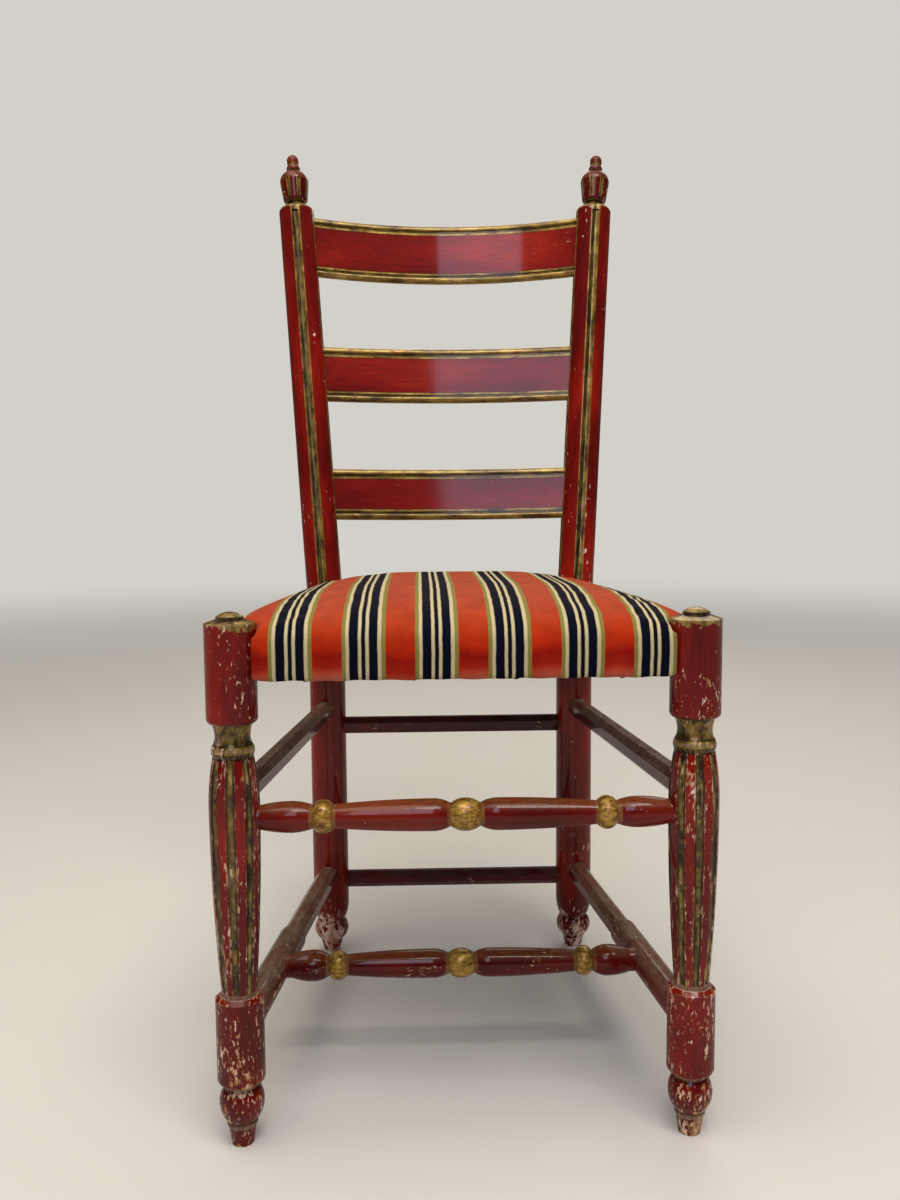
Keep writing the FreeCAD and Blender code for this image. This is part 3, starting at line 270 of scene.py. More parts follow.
def old_paint(node, name, masks, place=(0, 0, 0), turned=(0, 0, 0), grain=(1.0, 1.0, 0.3), wear=0.5,
              tone=RED, leaf_tone=DULL_LEAF, bare_tone=TAN_GESSO, flake=FLAKE, dust="#82695a",
              edge_wear=0.12, seed=0.0):
    """Paint a CAD node red over gesso, gilded and worn where its masks say."""
    material, tree, point = new_material(name)
    point = add(tree, "Mapping", [point, place, turned, (MM, MM, MM)], vector_type="TEXTURE")
    found = masks(tree, add(tree, "SeparateXYZ", [point]))

    # the red, in broad patches and fine streaks along the grain
    long_point = add(tree, "VectorMath", [point, grain], "MULTIPLY")
    shifted = add(tree, "VectorMath", [long_point, [seed * step for step in SEED_STEP]], "ADD")
    patches = add(tree, "TexNoise", [shifted, 1 / TONE_PATCH, 3.0])
    red = set_stops(add(tree, "ValToRGB", [patches]), zip((0.32, 0.5, 0.68), tone))
    stretch = [1.0 if share > 0.9 else 0.2 for share in grain]
    streak_point = add(tree, "VectorMath", [shifted, stretch], "MULTIPLY")
    streaks = add(tree, "TexNoise", [streak_point, 1 / STREAK_WIDTH, 4.0])
    streak_shade = add(tree, "MapRange", [streaks, 0.3, 0.7, 0.72, 1.12])
    colour = add(tree, "Mix", [1.0, red, streak_shade], data_type="RGBA", blend_type="MULTIPLY")

    # sharp edges and hollows
    rounded = add(tree, "Bevel", {"Radius": EDGE_RADIUS}, samples=4)
    facing = add(tree, "VectorMath", [rounded, add(tree, "NewGeometry").outputs["Normal"]], "DOT_PRODUCT")
    edge = add(tree, "MapRange", [facing.outputs["Value"], 0.99, 0.86])
    # ambient occlusion darkens the hollows brown, as grime and as painted shade
    hollow = add(tree, "AmbientOcclusion", {"Distance": GRIME_AND_SHADE_REACH}, samples=4, only_local=True)
    open_air = add(tree, "MapRange", [hollow.outputs["AO"], 0.35, 0.95])

    # gold leaf, with red showing where it is rubbed
    flakes = add(tree, "TexNoise", {"Vector": shifted, "Scale": 1 / flake, "Detail": 7.0,
                                    "Roughness": 0.62, "Distortion": 0.4})
    gilt = found.get("gilt")
    if gilt:
        rubbed_leaf = add(tree, "MapRange", [flakes, 0.57, 0.62, 1.0, 0.25])
        gilt = add(tree, "Math", [gilt, rubbed_leaf], "MULTIPLY")
        leaf = add(tree, "TexNoise", [shifted, 1 / LEAF_PATCH[leaf_tone], 6.0, 0.65])
        gold = set_stops(add(tree, "ValToRGB", [leaf]), zip((0.3, 0.4, 0.5, 0.6, 0.74), leaf_tone))
        colour = add(tree, "Mix", [gilt, colour, gold], data_type="RGBA")

    # chips down to the gesso
    broad = add(tree, "TexNoise", [shifted, 1 / FLAKE_GROUP, 2.0])
    rubbed = add(tree, "Math", [flakes, add(tree, "Math", [broad, 0.45], "MULTIPLY")], "ADD")
    rubbed = add(tree, "Math", [edge, edge_wear, rubbed], "MULTIPLY_ADD")
    if found.get("wear"):
        rubbed = add(tree, "Math", [found["wear"], 0.16, rubbed], "MULTIPLY_ADD")
    limit = 0.99 - 0.24 * wear
    chips = add(tree, "MapRange", [rubbed, limit, limit + 0.018])
    bare = add(tree, "TexNoise", [shifted, 1 / (flake * 2.2), 3.0])
    ground = set_stops(add(tree, "ValToRGB", [bare]), zip((0.34, 0.46, 0.56, 0.68), bare_tone))
    colour = add(tree, "Mix", [chips, colour, ground], data_type="RGBA")

    # dark lines of dirt and painted shade, grime and painted shade in hollows, dust and painted top light on
    # top
    if found.get("dark"):
        caught = add(tree, "MapRange", [streaks, 0.36, 0.56, 0.5])
        dark_marks = add(tree, "Math", [found["dark"], caught], "MULTIPLY")
        colour = add(tree, "Mix", [dark_marks, colour, paint_chip("#181008")], data_type="RGBA")
    grime_and_shade = add(tree, "Mix", [open_air, paint_chip("#57402c"), paint_chip("#ffffff")], data_type="RGBA")
    colour = add(tree, "Mix", [1.0, colour, grime_and_shade], data_type="RGBA", blend_type="MULTIPLY")
    # dust, and on the stretchers also painted top light, lightens the marked places
    if found.get("dust"):
        dust_and_top_light = add(tree, "MapRange", [flakes, 0.4, 0.56, 0.45])
        dust_and_top_light = add(tree, "Math", [found["dust"], dust_and_top_light], "MULTIPLY")
        colour = add(tree, "Mix", [dust_and_top_light, colour, paint_chip(dust)], data_type="RGBA")

    lowered = add(tree, "Math", [chips, -1.0, streaks], "MULTIPLY_ADD")
    shader = add(tree, "BsdfPrincipled", {
        "Base Color": colour,
        "Roughness": add(tree, "MapRange", [chips, 0.0, 1.0, 0.38, 0.65]),
        "Normal": add(tree, "Bump", {"Strength": 0.35, "Distance": 0.3 * MM, "Height": lowered}),
        "Coat Weight": 0.4,
        "Coat Roughness": 0.06,
        "Specular IOR Level": 0.04,
    })
    if gilt:
        shine = add(tree, "Math", [gilt, 0.4], "MULTIPLY")
        whole = add(tree, "Math", [1.0, chips], "SUBTRACT")
        metal = add(tree, "Math", [shine, whole], "MULTIPLY")
        tree.links.new(metal.outputs[0], shader.inputs["Metallic"])
    add(tree, "OutputMaterial", [shader])
    finish_node(node, material)


# %% [markdown]
# Bands round a turning, such as a gilt neck, follow the distance along the axis. A colour ramp
# with hard stops, read as black and white, is the plainest way to draw them. Flutes follow the
# angle round the axis instead, counted in flutes, so that each one's middle is a half.

# %% Bands along an axis and flutes round it


def bands(tree, along, reach, spans):
    """White where the distance along an axis, from 0 to its reach, lies in one of the spans."""
    share = add(tree, "Math", [along, reach], "DIVIDE")
    stops = [] if spans[0][0] <= 0 else [(0.0, "#000000")]
    for start, end in spans:
        stops += [(start / reach, "#ffffff"), (end / reach, "#000000")]
    return set_stops(add(tree, "ValToRGB", [share]), stops, "CONSTANT").outputs[0]


def near_flute(tree, parts, count, radius, turn=0.0, beside=0.0):
    """How far round a turning the nearest flute's middle is, or a line beside it, in millimetres."""
    pitch = radius * math.tau / count
    around = add(tree, "Math", [parts.outputs["Y"], parts.outputs["X"]], "ARCTAN2")
    flute = add(tree, "Math", [around, count / math.tau, 0.5 - turn + beside / pitch], "MULTIPLY_ADD")
    in_flute = add(tree, "Math", [flute, 1.0, 0.0], "WRAP")
    centred = add(tree, "Math", [in_flute, 0.5], "SUBTRACT")
    return add(tree, "Math", [add(tree, "Math", [centred], "ABSOLUTE"), pitch], "MULTIPLY")


# %% [markdown]
# ## Front legs
# Each leg has a plain cylinder beside the seat, a gilt neck and ring, a baluster with eight
# flutes, a plain block where the stretchers enter, and a ball foot. A tarnished line of gold is
# left in each flute, with dirt along both its sides, and the ridges between stay red and are
# chipped beside it. The gilding of the top runs down over the shoulder, so its edge is ragged.
# Heights are in millimetres above the floor. Widths are in millimetres round the leg, and a pair
# of them says where a line starts to fade in and where it is full.

# %% Front leg finish
LEG_REACH = 460.0
LEG_FLUTES = 8
FLUTED_RADIUS = 19.0
FLUTE_ZONE = (135.0, 338.0)
FLUTE_GILT = 2.7    # half the width of the gilding that is left in a flute
FLUTE_GILT_EDGE = (FLUTE_GILT + 0.3, FLUTE_GILT - 0.3)
FLUTE_LINE = (1.5, 0.5)
CHIPPED_RIM = (FLUTE_GILT + 3.0, FLUTE_GILT + 0.8)
NECK = (348.5, 367.5)
RING_AND_NECK = (338.5, 367.5)
RING_LINES = ((337.6, 341.6), (348.3, 350.2))
SHOULDER_GILT = 446.5
SHOULDER_RAG = 22.0
TOP_DIRT = (451.2, 455.0)
CHALKY_RINGS = ((16.0, 21.0), (51.6, 56.0), (131.8, 135.6), (344.2, 346.4))
SCUFFED_BELOW = 150.0
TARNISH_SPOTS = 70.0    # to a metre


def leg_masks(tree, parts):
    height = parts.outputs["Z"]
    off = near_flute(tree, parts, LEG_FLUTES, FLUTED_RADIUS)
    fluted = bands(tree, height, LEG_REACH, [FLUTE_ZONE])
    in_gilding = add(tree, "MapRange", [off, *FLUTE_GILT_EDGE])
    gilt_flute = add(tree, "Math", [in_gilding, fluted], "MULTIPLY")
    patchy = add(tree, "TexNoise", [add(tree, "TexCoord").outputs["Object"], TARNISH_SPOTS, 4.0])
    ragged = add(tree, "Math", [patchy, SHOULDER_RAG, height], "MULTIPLY_ADD")
    ragged_edge = SHOULDER_GILT + SHOULDER_RAG / 2
    shoulder = add(tree, "MapRange", [ragged, ragged_edge, ragged_edge + 1])
    ring_and_neck = bands(tree, height, LEG_REACH, [RING_AND_NECK])
    gilt_band = add(tree, "Math", [shoulder, ring_and_neck], "MAXIMUM")

    from_line = add(tree, "Math", [add(tree, "Math", [off, FLUTE_GILT], "SUBTRACT")], "ABSOLUTE")
    in_line = add(tree, "MapRange", [from_line, *FLUTE_LINE])
    lines = add(tree, "Math", [in_line, fluted], "MULTIPLY")
    rings = bands(tree, height, LEG_REACH, [*RING_LINES, TOP_DIRT])
    dark_marks = add(tree, "Math", [add(tree, "Math", [lines, rings], "MAXIMUM"), 0.88], "MULTIPLY")
    tarnish = add(tree, "MapRange", [patchy, 0.4, 0.52, 0.0, 0.9])
    leafed = add(tree, "Math", [gilt_flute, bands(tree, height, LEG_REACH, [NECK])], "MAXIMUM")
    tarnish = add(tree, "Math", [tarnish, leafed], "MULTIPLY")

    scuffed = add(tree, "MapRange", [height, SCUFFED_BELOW, 0.0, 0.0, 0.55])
    rim = add(tree, "MapRange", [off, *CHIPPED_RIM, 0.0, 0.45])
    ridge = add(tree, "Math", [fluted, in_gilding], "SUBTRACT")
    chipped = add(tree, "Math", [rim, ridge], "MULTIPLY")
    return {
        "gilt": add(tree, "Math", [gilt_flute, gilt_band], "MAXIMUM"),
        "dark": add(tree, "Math", [dark_marks, tarnish], "MAXIMUM"),
        "wear": add(tree, "Math", [scuffed, chipped], "MAXIMUM"),
        "dust": add(tree, "Math", [bands(tree, height, LEG_REACH, CHALKY_RINGS), 0.7], "MULTIPLY"),
    }


# %% [markdown]
# ## Back posts and finials
# A post's four flutes run along its leaning upper part, so the finish is turned to that lean,
# and places are millimetres along it from the bend. One flute faces the front. Below the seat
# the post is plain, and at its foot it is worn to large pale patches.

# %% Back post finish
POST_RUN = POST_LEAN.length / MM
POST_FLUTES = 4
POST_FLUTE_START = (20.0, 22.0)
POST_FLUTE_GILT = (6.0, 4.9)
POST_LINE = (2.9, 1.7)
# the dark line in each post flute is dirt, set beside the flute's middle so that it lies on one wall as
# painted shade
POST_LINE_BESIDE = 1.6
SIDE_GILT = (19.6, 20.0)    # the gilding of the side flutes runs a little past their edges
POST_RIM = (POST_RUN - 5.0, POST_RUN - 3.0)
WORN_FOOT = (-330.0, -390.0)


def post_frame(side):
    """Where a post's leaning part starts, and how its axis is turned from upright."""
    lean = Vector((side * POST_LEAN.x, POST_LEAN.y, POST_LEAN.z)).normalized()
    across = Vector((1, 0, 0))
    ahead = lean.cross(across).normalized()
    across = ahead.cross(lean)
    turned = Matrix((across, ahead, lean)).transposed().to_euler()
    return (side * POST_X, POST_Y, BEND_Z), tuple(turned)


def post_masks(tree, parts):
    height = parts.outputs["Z"]
    radius = POST_RADIUS / MM
    fluted = add(tree, "MapRange", [height, *POST_FLUTE_START])
    off = near_flute(tree, parts, POST_FLUTES, radius)
    in_flute = add(tree, "MapRange", [off, *POST_FLUTE_GILT])
    to_side = add(tree, "Math", [parts.outputs["X"]], "ABSOLUTE")
    beside = add(tree, "MapRange", [to_side, *SIDE_GILT])
    in_flute = add(tree, "Math", [in_flute, beside], "MAXIMUM")
    gilt_flute = add(tree, "Math", [in_flute, fluted], "MULTIPLY")
    rim = add(tree, "MapRange", [height, *POST_RIM])
    # painted shade: the dark line is moved onto one wall of each flute
    off_line = near_flute(tree, parts, POST_FLUTES, radius, beside=POST_LINE_BESIDE)
    in_line = add(tree, "MapRange", [off_line, *POST_LINE])
    line = add(tree, "Math", [in_line, fluted], "MULTIPLY")
    return {
        "gilt": add(tree, "Math", [gilt_flute, rim], "MAXIMUM"),
        "dark": add(tree, "Math", [line, 0.9], "MULTIPLY"),
        "wear": add(tree, "MapRange", [height, *WORN_FOOT, 0.0, 1.2]),
    }


# %% [markdown]
# A finial stands on its post's end and leans with it. Its urn has eight gilt grooves with dirt
# in them, and its cap and tip are rubbed to a reddish tan. Places are millimetres above the
# post's end.

# %% Finial finish
FINIAL_REACH = 70.0
FINIAL_GILT = ((0.0, 8.0), (45.5, 49.0), (54.5, 57.0))
FINIAL_TAN = ((33.2, 45.5), (49.0, 54.5), (57.0, 69.5))
URN = (11.0, 35.0)
URN_RADIUS = 15.0
URN_GROOVES = 8
GROOVE_GILT = (2.6, 1.7)
GROOVE_DIRT = (1.2, 0.5)


def finial_masks(tree, parts):
    height = add(tree, "Math", [parts.outputs["Z"], POST_RUN], "SUBTRACT")
    off = near_flute(tree, parts, URN_GROOVES, URN_RADIUS, turn=0.5)
    urn = bands(tree, height, FINIAL_REACH, [URN])
    in_groove = add(tree, "MapRange", [off, *GROOVE_GILT])
    grooves = add(tree, "Math", [in_groove, urn], "MULTIPLY")
    in_dirt = add(tree, "MapRange", [off, *GROOVE_DIRT])
    dark_marks = add(tree, "Math", [in_dirt, urn], "MULTIPLY")
    return {
        "gilt": add(tree, "Math", [grooves, bands(tree, height, FINIAL_REACH, FINIAL_GILT)], "MAXIMUM"),
        "dark": add(tree, "Math", [dark_marks, 0.85], "MULTIPLY"),
        "dust": add(tree, "Math", [bands(tree, height, FINIAL_REACH, FINIAL_TAN), 0.7], "MULTIPLY"),
    }


# %% [markdown]
# ## Slats
# On its front, a slat's two long edges carry a gilt bead with dark lines of painted shade in the
# quirk beside it and at the panel's edge, and a red panel lies between. Its back is plain red.
# All three slats lean with the back, so one turned frame measures how far up the back a point
# is, and each slat's middle is a distance along that.

# %% Slat finish
# how far up the back a slat's middle is, and how high the slat is, in millimetres
SLATS = {"top_slat": (455.5, 74.6), "middle_slat": (294.0, 67.8), "lower_slat": (145.5, 62.2)}
SLAT_REACH = 40.0
GILT_EDGE = 12.4
# dark lines of painted shade: one in the quirk beside the bead, one where the panel steps down
DARK_LINES = ((7.4, 9.8), (GILT_EDGE, GILT_EDGE + 0.8))


def slat_masks(middle, height):
    """The masks of a slat with its middle so far up the back, and of that height."""
    def masks(tree, parts):
        up_back = add(tree, "Math", [parts.outputs["Z"], middle], "SUBTRACT")
        from_middle = add(tree, "Math", [up_back], "ABSOLUTE")
        from_edge = add(tree, "Math", [height / 2, from_middle], "SUBTRACT")
        moulding = add(tree, "MapRange", [from_edge, GILT_EDGE + 0.5, GILT_EDGE - 0.5])
        backwards = add(tree, "SeparateXYZ", [add(tree, "NewGeometry").outputs["Normal"]]).outputs["Y"]
        in_front = add(tree, "MapRange", [backwards, 0.7, 0.5])
        # painted shade in the quirks
        line = add(tree, "Math", [bands(tree, from_edge, SLAT_REACH, DARK_LINES), 0.8], "MULTIPLY")
        return {
            "gilt": add(tree, "Math", [moulding, in_front], "MULTIPLY"),
            "dark": add(tree, "Math", [line, in_front], "MULTIPLY"),
        }
    return masks


# %% [markdown]
# ## Stretchers
# The two front stretchers are red with a bright gilt ball in the middle and a gilt bead on each
# side, and dust has settled round these. Along their top the red is lighter, as dust and as
# painted top light. The side and back stretchers are bars with planed facets. Hands, heels and
# dust have turned the red of their upper facets to a greyish brown, which is also painted top
# light. Places are millimetres from the middle.

# %% Stretcher finishes
STRETCHER_REACH = 190.0
BEAD_SPANS = ((0.0, 12.8), (111.3, 128.2))
BEAD_RIMS = ((11.8, 15.2), (108.6, 112.3), (127.2, 130.8))
DUST_AND_LIGHT_SPOTS = 28.0    # to a metre


def front_stretcher_masks(tree, parts):
    from_middle = add(tree, "Math", [parts.outputs["X"]], "ABSOLUTE")
    gilt = bands(tree, from_middle, STRETCHER_REACH, BEAD_SPANS)
    red = add(tree, "Math", [1.0, gilt], "SUBTRACT")
    upward = add(tree, "SeparateXYZ", [add(tree, "NewGeometry").outputs["Normal"]]).outputs["Z"]
    # dust and painted top light on the upward faces
    topside = add(tree, "MapRange", [upward, 0.35, 0.95, 0.0, 0.5])
    topside = add(tree, "Math", [topside, red], "MULTIPLY")
    rims = add(tree, "Math", [bands(tree, from_middle, STRETCHER_REACH, BEAD_RIMS), 0.85], "MULTIPLY")
    return {"gilt": gilt, "dust": add(tree, "Math", [topside, rims], "MAXIMUM")}


def bar_masks(tree, parts):
    upward = add(tree, "SeparateXYZ", [add(tree, "NewGeometry").outputs["Normal"]]).outputs["Z"]
    # dust and painted top light on the upward facets
    upward_dust_and_light = add(tree, "MapRange", [upward, 0.15, 0.9, 0.0, 0.95])
    patchy = add(tree, "TexNoise", [add(tree, "TexCoord").outputs["Object"], DUST_AND_LIGHT_SPOTS, 5.0])
    kept = add(tree, "MapRange", [patchy, 0.36, 0.58, 0.5])
    return {"dust": add(tree, "Math", [upward_dust_and_light, kept], "MULTIPLY")}


# %% [markdown]
# Each wooden piece gets a paint of its own, with the grain along its length. A seed of its own
# shifts the noise, so no two pieces have the same chips. The legs are the most worn and the
# slats the least.

# %% Put the finishes on the wooden pieces
LEG_TONE = ("#450606", "#650c08", "#88170c")
FINIAL_TONE = ("#3c0606", "#560b08", "#72150b")
SLAT_TONE = ("#5a0806", "#770f08", "#90200c")
FRONT_TONE = ("#470807", "#620e0a", "#7b1f0e")
SIDE_BAR_TONE = ("#3e0807", "#5c0f0a", "#74190d")
BACK_BAR_TONE = ("#320606", "#4a0b08", "#62120b")
POST_FLAKE = 4.2

for name, side in (("left", -1), ("right", 1)):
    leg_place = (side * LEG_X, LEG_Y, 0)
    post_place, post_turn = post_frame(side)
    along = (0, 0, math.atan(SIDE_SLOPE) * side)
    old_paint("front_leg_" + name, "gilded_leg_paint_" + name, leg_masks, leg_place,
              grain=(1.0, 1.0, 0.42), wear=0.62 + 0.02 * side, tone=LEG_TONE, dust="#937a64", seed=side)
    old_paint("back_post_" + name, "gilded_post_paint_" + name, post_masks, post_place, post_turn,
              (1.0, 1.0, 0.45), 0.3, bare_tone=PALE_GESSO, flake=POST_FLAKE, seed=2.0 + side)
    old_paint("finial_" + name, "gilded_finial_paint_" + name, finial_masks, post_place, post_turn,
              (1.0, 1.0, 0.6), 0.42, FINIAL_TONE, dust="#65361c", seed=5.0 + side)
    old_paint("upper_side_stretcher_" + name, "side_bar_paint_" + name, bar_masks, leg_place, along,
              (1.0, 0.25, 1.0), 0.3, SIDE_BAR_TONE, dust="#8f7a66", edge_wear=0.26, seed=8.0 + side)
    old_paint("lower_side_stretcher_" + name, "low_bar_paint_" + name, bar_masks, leg_place, along,
              (1.0, 0.25, 1.0), 0.5, SIDE_BAR_TONE, dust="#857059", edge_wear=0.28, seed=11.0 + side)

for number, (node, (middle, height)) in enumerate(SLATS.items()):
    old_paint(node, "gilded_slat_paint_%d" % number, slat_masks(middle, height), (0, POST_Y, BEND_Z),
              (-BACK_ANGLE, 0, 0), (0.22, 1.0, 1.0), 0.12, SLAT_TONE, seed=14.0 + number)

for number, level in enumerate(("upper", "lower")):
    old_paint(level + "_front_stretcher", "gilded_stretcher_paint_%d" % number, front_stretcher_masks,
              grain=(0.4, 1.0, 1.0), wear=0.18 + 0.24 * number, tone=FRONT_TONE,
              leaf_tone=BRIGHT_LEAF, dust="#7e562f", seed=18.0 + number)
    old_paint(level + "_back_stretcher", "back_bar_paint_%d" % number, bar_masks,
              grain=(0.25, 1.0, 1.0), wear=0.25, tone=BACK_BAR_TONE, dust="#4a3830", seed=21.0 + number)
print("painted pieces:", sum(1 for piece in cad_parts.values() if piece.data.materials))

# %% [markdown]
# Under the cover, the seat rails are bare beech, pale and close-grained with short darker
# flecks, and the tacks are blued steel, which is nearly black with a dull shine.

# %% Bare beech and blued steel
FLECK_WIDTH = 1.5
BLUE_BLOTCHES = 400.0    # to a metre
beech, tree, point = new_material("bare_beech")
grain_point = add(tree, "VectorMath", [point, (0.3, 0.3, 1.0)], "MULTIPLY")
fleck = add(tree, "TexNoise", [grain_point, 1000 / FLECK_WIDTH, 4.0])
beech_colour = set_stops(add(tree, "ValToRGB", [fleck]), [
    (0.35, "#a67c50"), (0.5, "#c9a172"), (0.7, "#d9b98c")])
add(tree, "OutputMaterial", [add(tree, "BsdfPrincipled", {
    "Base Color": beech_colour, "Roughness": 0.6,
    "Normal": add(tree, "Bump", {"Strength": 0.2, "Distance": 0.2 * MM, "Height": fleck})})])
for place in ("front", "back", "left", "right"):
    finish_node("seat_rail_" + place, beech)

steel, tree, point = new_material("blued_steel")
blotch = add(tree, "TexNoise", [point, BLUE_BLOTCHES])
blue = set_stops(add(tree, "ValToRGB", [blotch]), [(0.3, "#23252b"), (0.7, "#3c3e44")])
add(tree, "OutputMaterial", [add(tree, "BsdfPrincipled", {
    "Base Color": blue, "Metallic": 1.0, "Roughness": 0.4})])
finish_node("seat_tacks", steel)

# %% [markdown]
# ## Modelling by hand, in code
# The soft pieces are new. Each starts as a primitive and is shaped in edit mode, as by hand,
# where parts are picked by their place or the way that they face.

# %% Modelling helpers


def only(*pieces):
    """Select these pieces and no others, and make the first one active."""
    bpy.ops.object.select_all(action="DESELECT")
    for piece in pieces:
        piece.select_set(True)
    bpy.context.view_layer.objects.active = pieces[0]


def start_piece(name, primitive, **settings):
    """Add a primitive on its own, with its place and size in its mesh."""
    bpy.ops.object.select_all(action="DESELECT")
    primitive(**settings)
    bpy.ops.object.transform_apply(location=True, rotation=True, scale=True)
    bpy.context.object.name = name
    return bpy.context.object


def pick(kind, wanted):
    """In edit mode, select only the vertices, edges or faces that pass a test."""
    bpy.ops.mesh.select_mode(type=kind)
    bpy.ops.mesh.select_all(action="DESELECT")
    mesh = bpy.context.object.data
    shape = bmesh.from_edit_mesh(mesh)
    for part in {"VERT": shape.verts, "EDGE": shape.edges, "FACE": shape.faces}[kind]:
        if wanted(part):
            part.select_set(True)
    bmesh.update_edit_mesh(mesh)


def middle_of(part):
    return sum((vertex.co for vertex in part.verts), Vector()) / len(part.verts)


def resize(x, y=1.0, centre=(0, 0, 0)):
    """In edit mode, scale what is selected, in plan and about a centre."""
    bpy.ops.transform.resize(value=(x, y, 1), center_override=centre)


def start_grid(name, cells, x, y, z, width, depth, turn=0.0):
    """Add a flat grid of so many cells, with its middle's place and its size."""
    grid = start_piece(name, bpy.ops.mesh.primitive_grid_add, x_subdivisions=cells[0],
                       y_subdivisions=cells[1], size=1, location=(x, y, z), rotation=(0, 0, turn))
    bpy.ops.object.mode_set(mode="EDIT")
    bpy.ops.mesh.select_all(action="SELECT")
    resize(width, depth, (x, y, 0))
    bpy.ops.object.mode_set(mode="OBJECT")
    return grid


def apply_modifier(piece, kind, **settings):
    """Add a modifier with its settings, and apply it."""
    only(piece)
    modifier = piece.modifiers.new(kind.lower(), kind)
    for name, choice in settings.items():
        setattr(modifier, name, choice)
    bpy.ops.object.modifier_apply(modifier=modifier.name)


def cut_away(piece, cutter):
    """Cut a closed shape out of a piece, and put the cutter away."""
    apply_modifier(piece, "BOOLEAN", object=cutter, operation="DIFFERENCE", solver="EXACT")
    bpy.data.objects.remove(cutter)


def part_way(value, start, end):
    """How far a value has come from start to end, held between 0 and 1."""
    return max(0.0, min(1.0, (value - start) / (end - start)))


# %% [markdown]
# ## The seat's form
# The seat is stuffed over the rails and covered in one piece of velvet, drawn down all round
# and tacked beneath. It is a crowned cushion, wider in front, with walls that swell a little
# and turn under at the bottom, and it is notched round the legs and posts.
#
# The form starts as a box. Its back is narrowed, its upright edges are rounded, its walls get
# levels that are drawn in, and its top is extruded in smaller and smaller rings to a crown. The
# crown is made a little lower than the real one, because the stuffing swells it later.

# %% A crowned block
SEAT_EDGE = 450 * MM
SEAT_OUT = 16.4 * MM
FRONT_CORNER = 34 * MM
BACK_CORNER = 30 * MM
HEM_ROOM = 0.2 * MM
CROWN_SLACK = 5.5 * MM
# levels are the share of the way up, and how many millimetres they are drawn in
WALL_LEVELS = ((0.0, 4.5), (0.14, 1.4), (0.48, 0.4), (0.72, 2.2), (0.88, 5.0), (1.0, 9.0))
CROWN_LEVELS = ((0.4, 26.0), (0.72, 54.0), (0.91, 84.0), (1.0, 118.0))


def side_x(y):
    """How far out the seat's side is, at a distance from front to back."""
    return LEG_X + SEAT_OUT - (y - LEG_Y) * SIDE_SLOPE


cover_low, cover_high = (Vector(corner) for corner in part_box("seat_cover"))
seat_front, seat_back = cover_low.y, cover_high.y
seat_middle = (seat_front + seat_back) / 2
seat_centre = (0, seat_middle, 0)
half_depth = (seat_back - seat_front) / 2
front_half, back_half = side_x(seat_front), side_x(seat_back)
bottom, crown = cover_low.z + HEM_ROOM, cover_high.z - CROWN_SLACK


def start_block(name, inset, low, high):
    """A block with the seat's plan less an inset, from one height to another, in edit mode."""
    block = start_piece(name, bpy.ops.mesh.primitive_cube_add, size=1,
                        location=(0, seat_middle, (low + high) / 2),
                        scale=(2 * (front_half - inset), 2 * (half_depth - inset), high - low))
    bpy.ops.object.mode_set(mode="EDIT")
    pick("VERT", lambda vertex: vertex.co.y > seat_middle)
    resize((back_half - inset) / (front_half - inset))
    return block


seat = start_block("velvet_seat", 0, bottom, SEAT_EDGE)
for corner, in_front in ((FRONT_CORNER, True), (BACK_CORNER, False)):
    pick("EDGE", lambda edge: abs(edge.verts[0].co.z - edge.verts[1].co.z) > 10 * MM
         and (middle_of(edge).y < seat_middle) == in_front)
    bpy.ops.mesh.bevel(offset=corner, segments=7, affect="EDGES")

for share, inset in WALL_LEVELS:
    level = bottom + (SEAT_EDGE - bottom) * share
    if 0 < share < 1:
        bpy.ops.mesh.select_all(action="SELECT")
        bpy.ops.mesh.bisect(plane_co=(0, 0, level), plane_no=(0, 0, 1))
    pick("VERT", lambda vertex: abs(vertex.co.z - level) < 0.01 * MM)
    resize(1 - inset * MM / front_half, 1 - inset * MM / half_depth, seat_centre)
pick("FACE", lambda face: face.normal.z > 0.9 and middle_of(face).z > SEAT_EDGE - MM)
rise, inset = 0.0, WALL_LEVELS[-1][1]
for next_rise, next_inset in CROWN_LEVELS:
    step = (next_rise - rise) * (crown - SEAT_EDGE)
    bpy.ops.mesh.extrude_region_move(TRANSFORM_OT_translate={"value": (0, 0, step)})
    shrink = [(size - next_inset * MM) / (size - inset * MM) for size in (front_half, half_depth)]
    resize(*shrink, seat_centre)
    rise, inset = next_rise, next_inset
bpy.ops.object.mode_set(mode="OBJECT")
print("seat form:", [round(side * 1000) for side in seat.dimensions], "mm")

# %% [markdown]
# The notches are cut with round cutters, a hair wider than the leg or post. A post leans from
# just above its bend, so its cutter is extruded along that lean.

# %% Cut the notches
NOTCH_ROOM = 0.8 * MM
LEG_RADIUS = 21.5 * MM
BELOW_SEAT = 380 * MM
ABOVE_SEAT = 500 * MM
LEAN_CUT = 0.2    # the share of the post's lean that the cutter follows


def round_cutter(radius, x, y, low, high):
    """A post-shaped cutter from one height to another."""
    return start_piece("cutter", bpy.ops.mesh.primitive_cylinder_add, vertices=56, radius=radius,
                       depth=high - low, location=(x, y, (low + high) / 2))


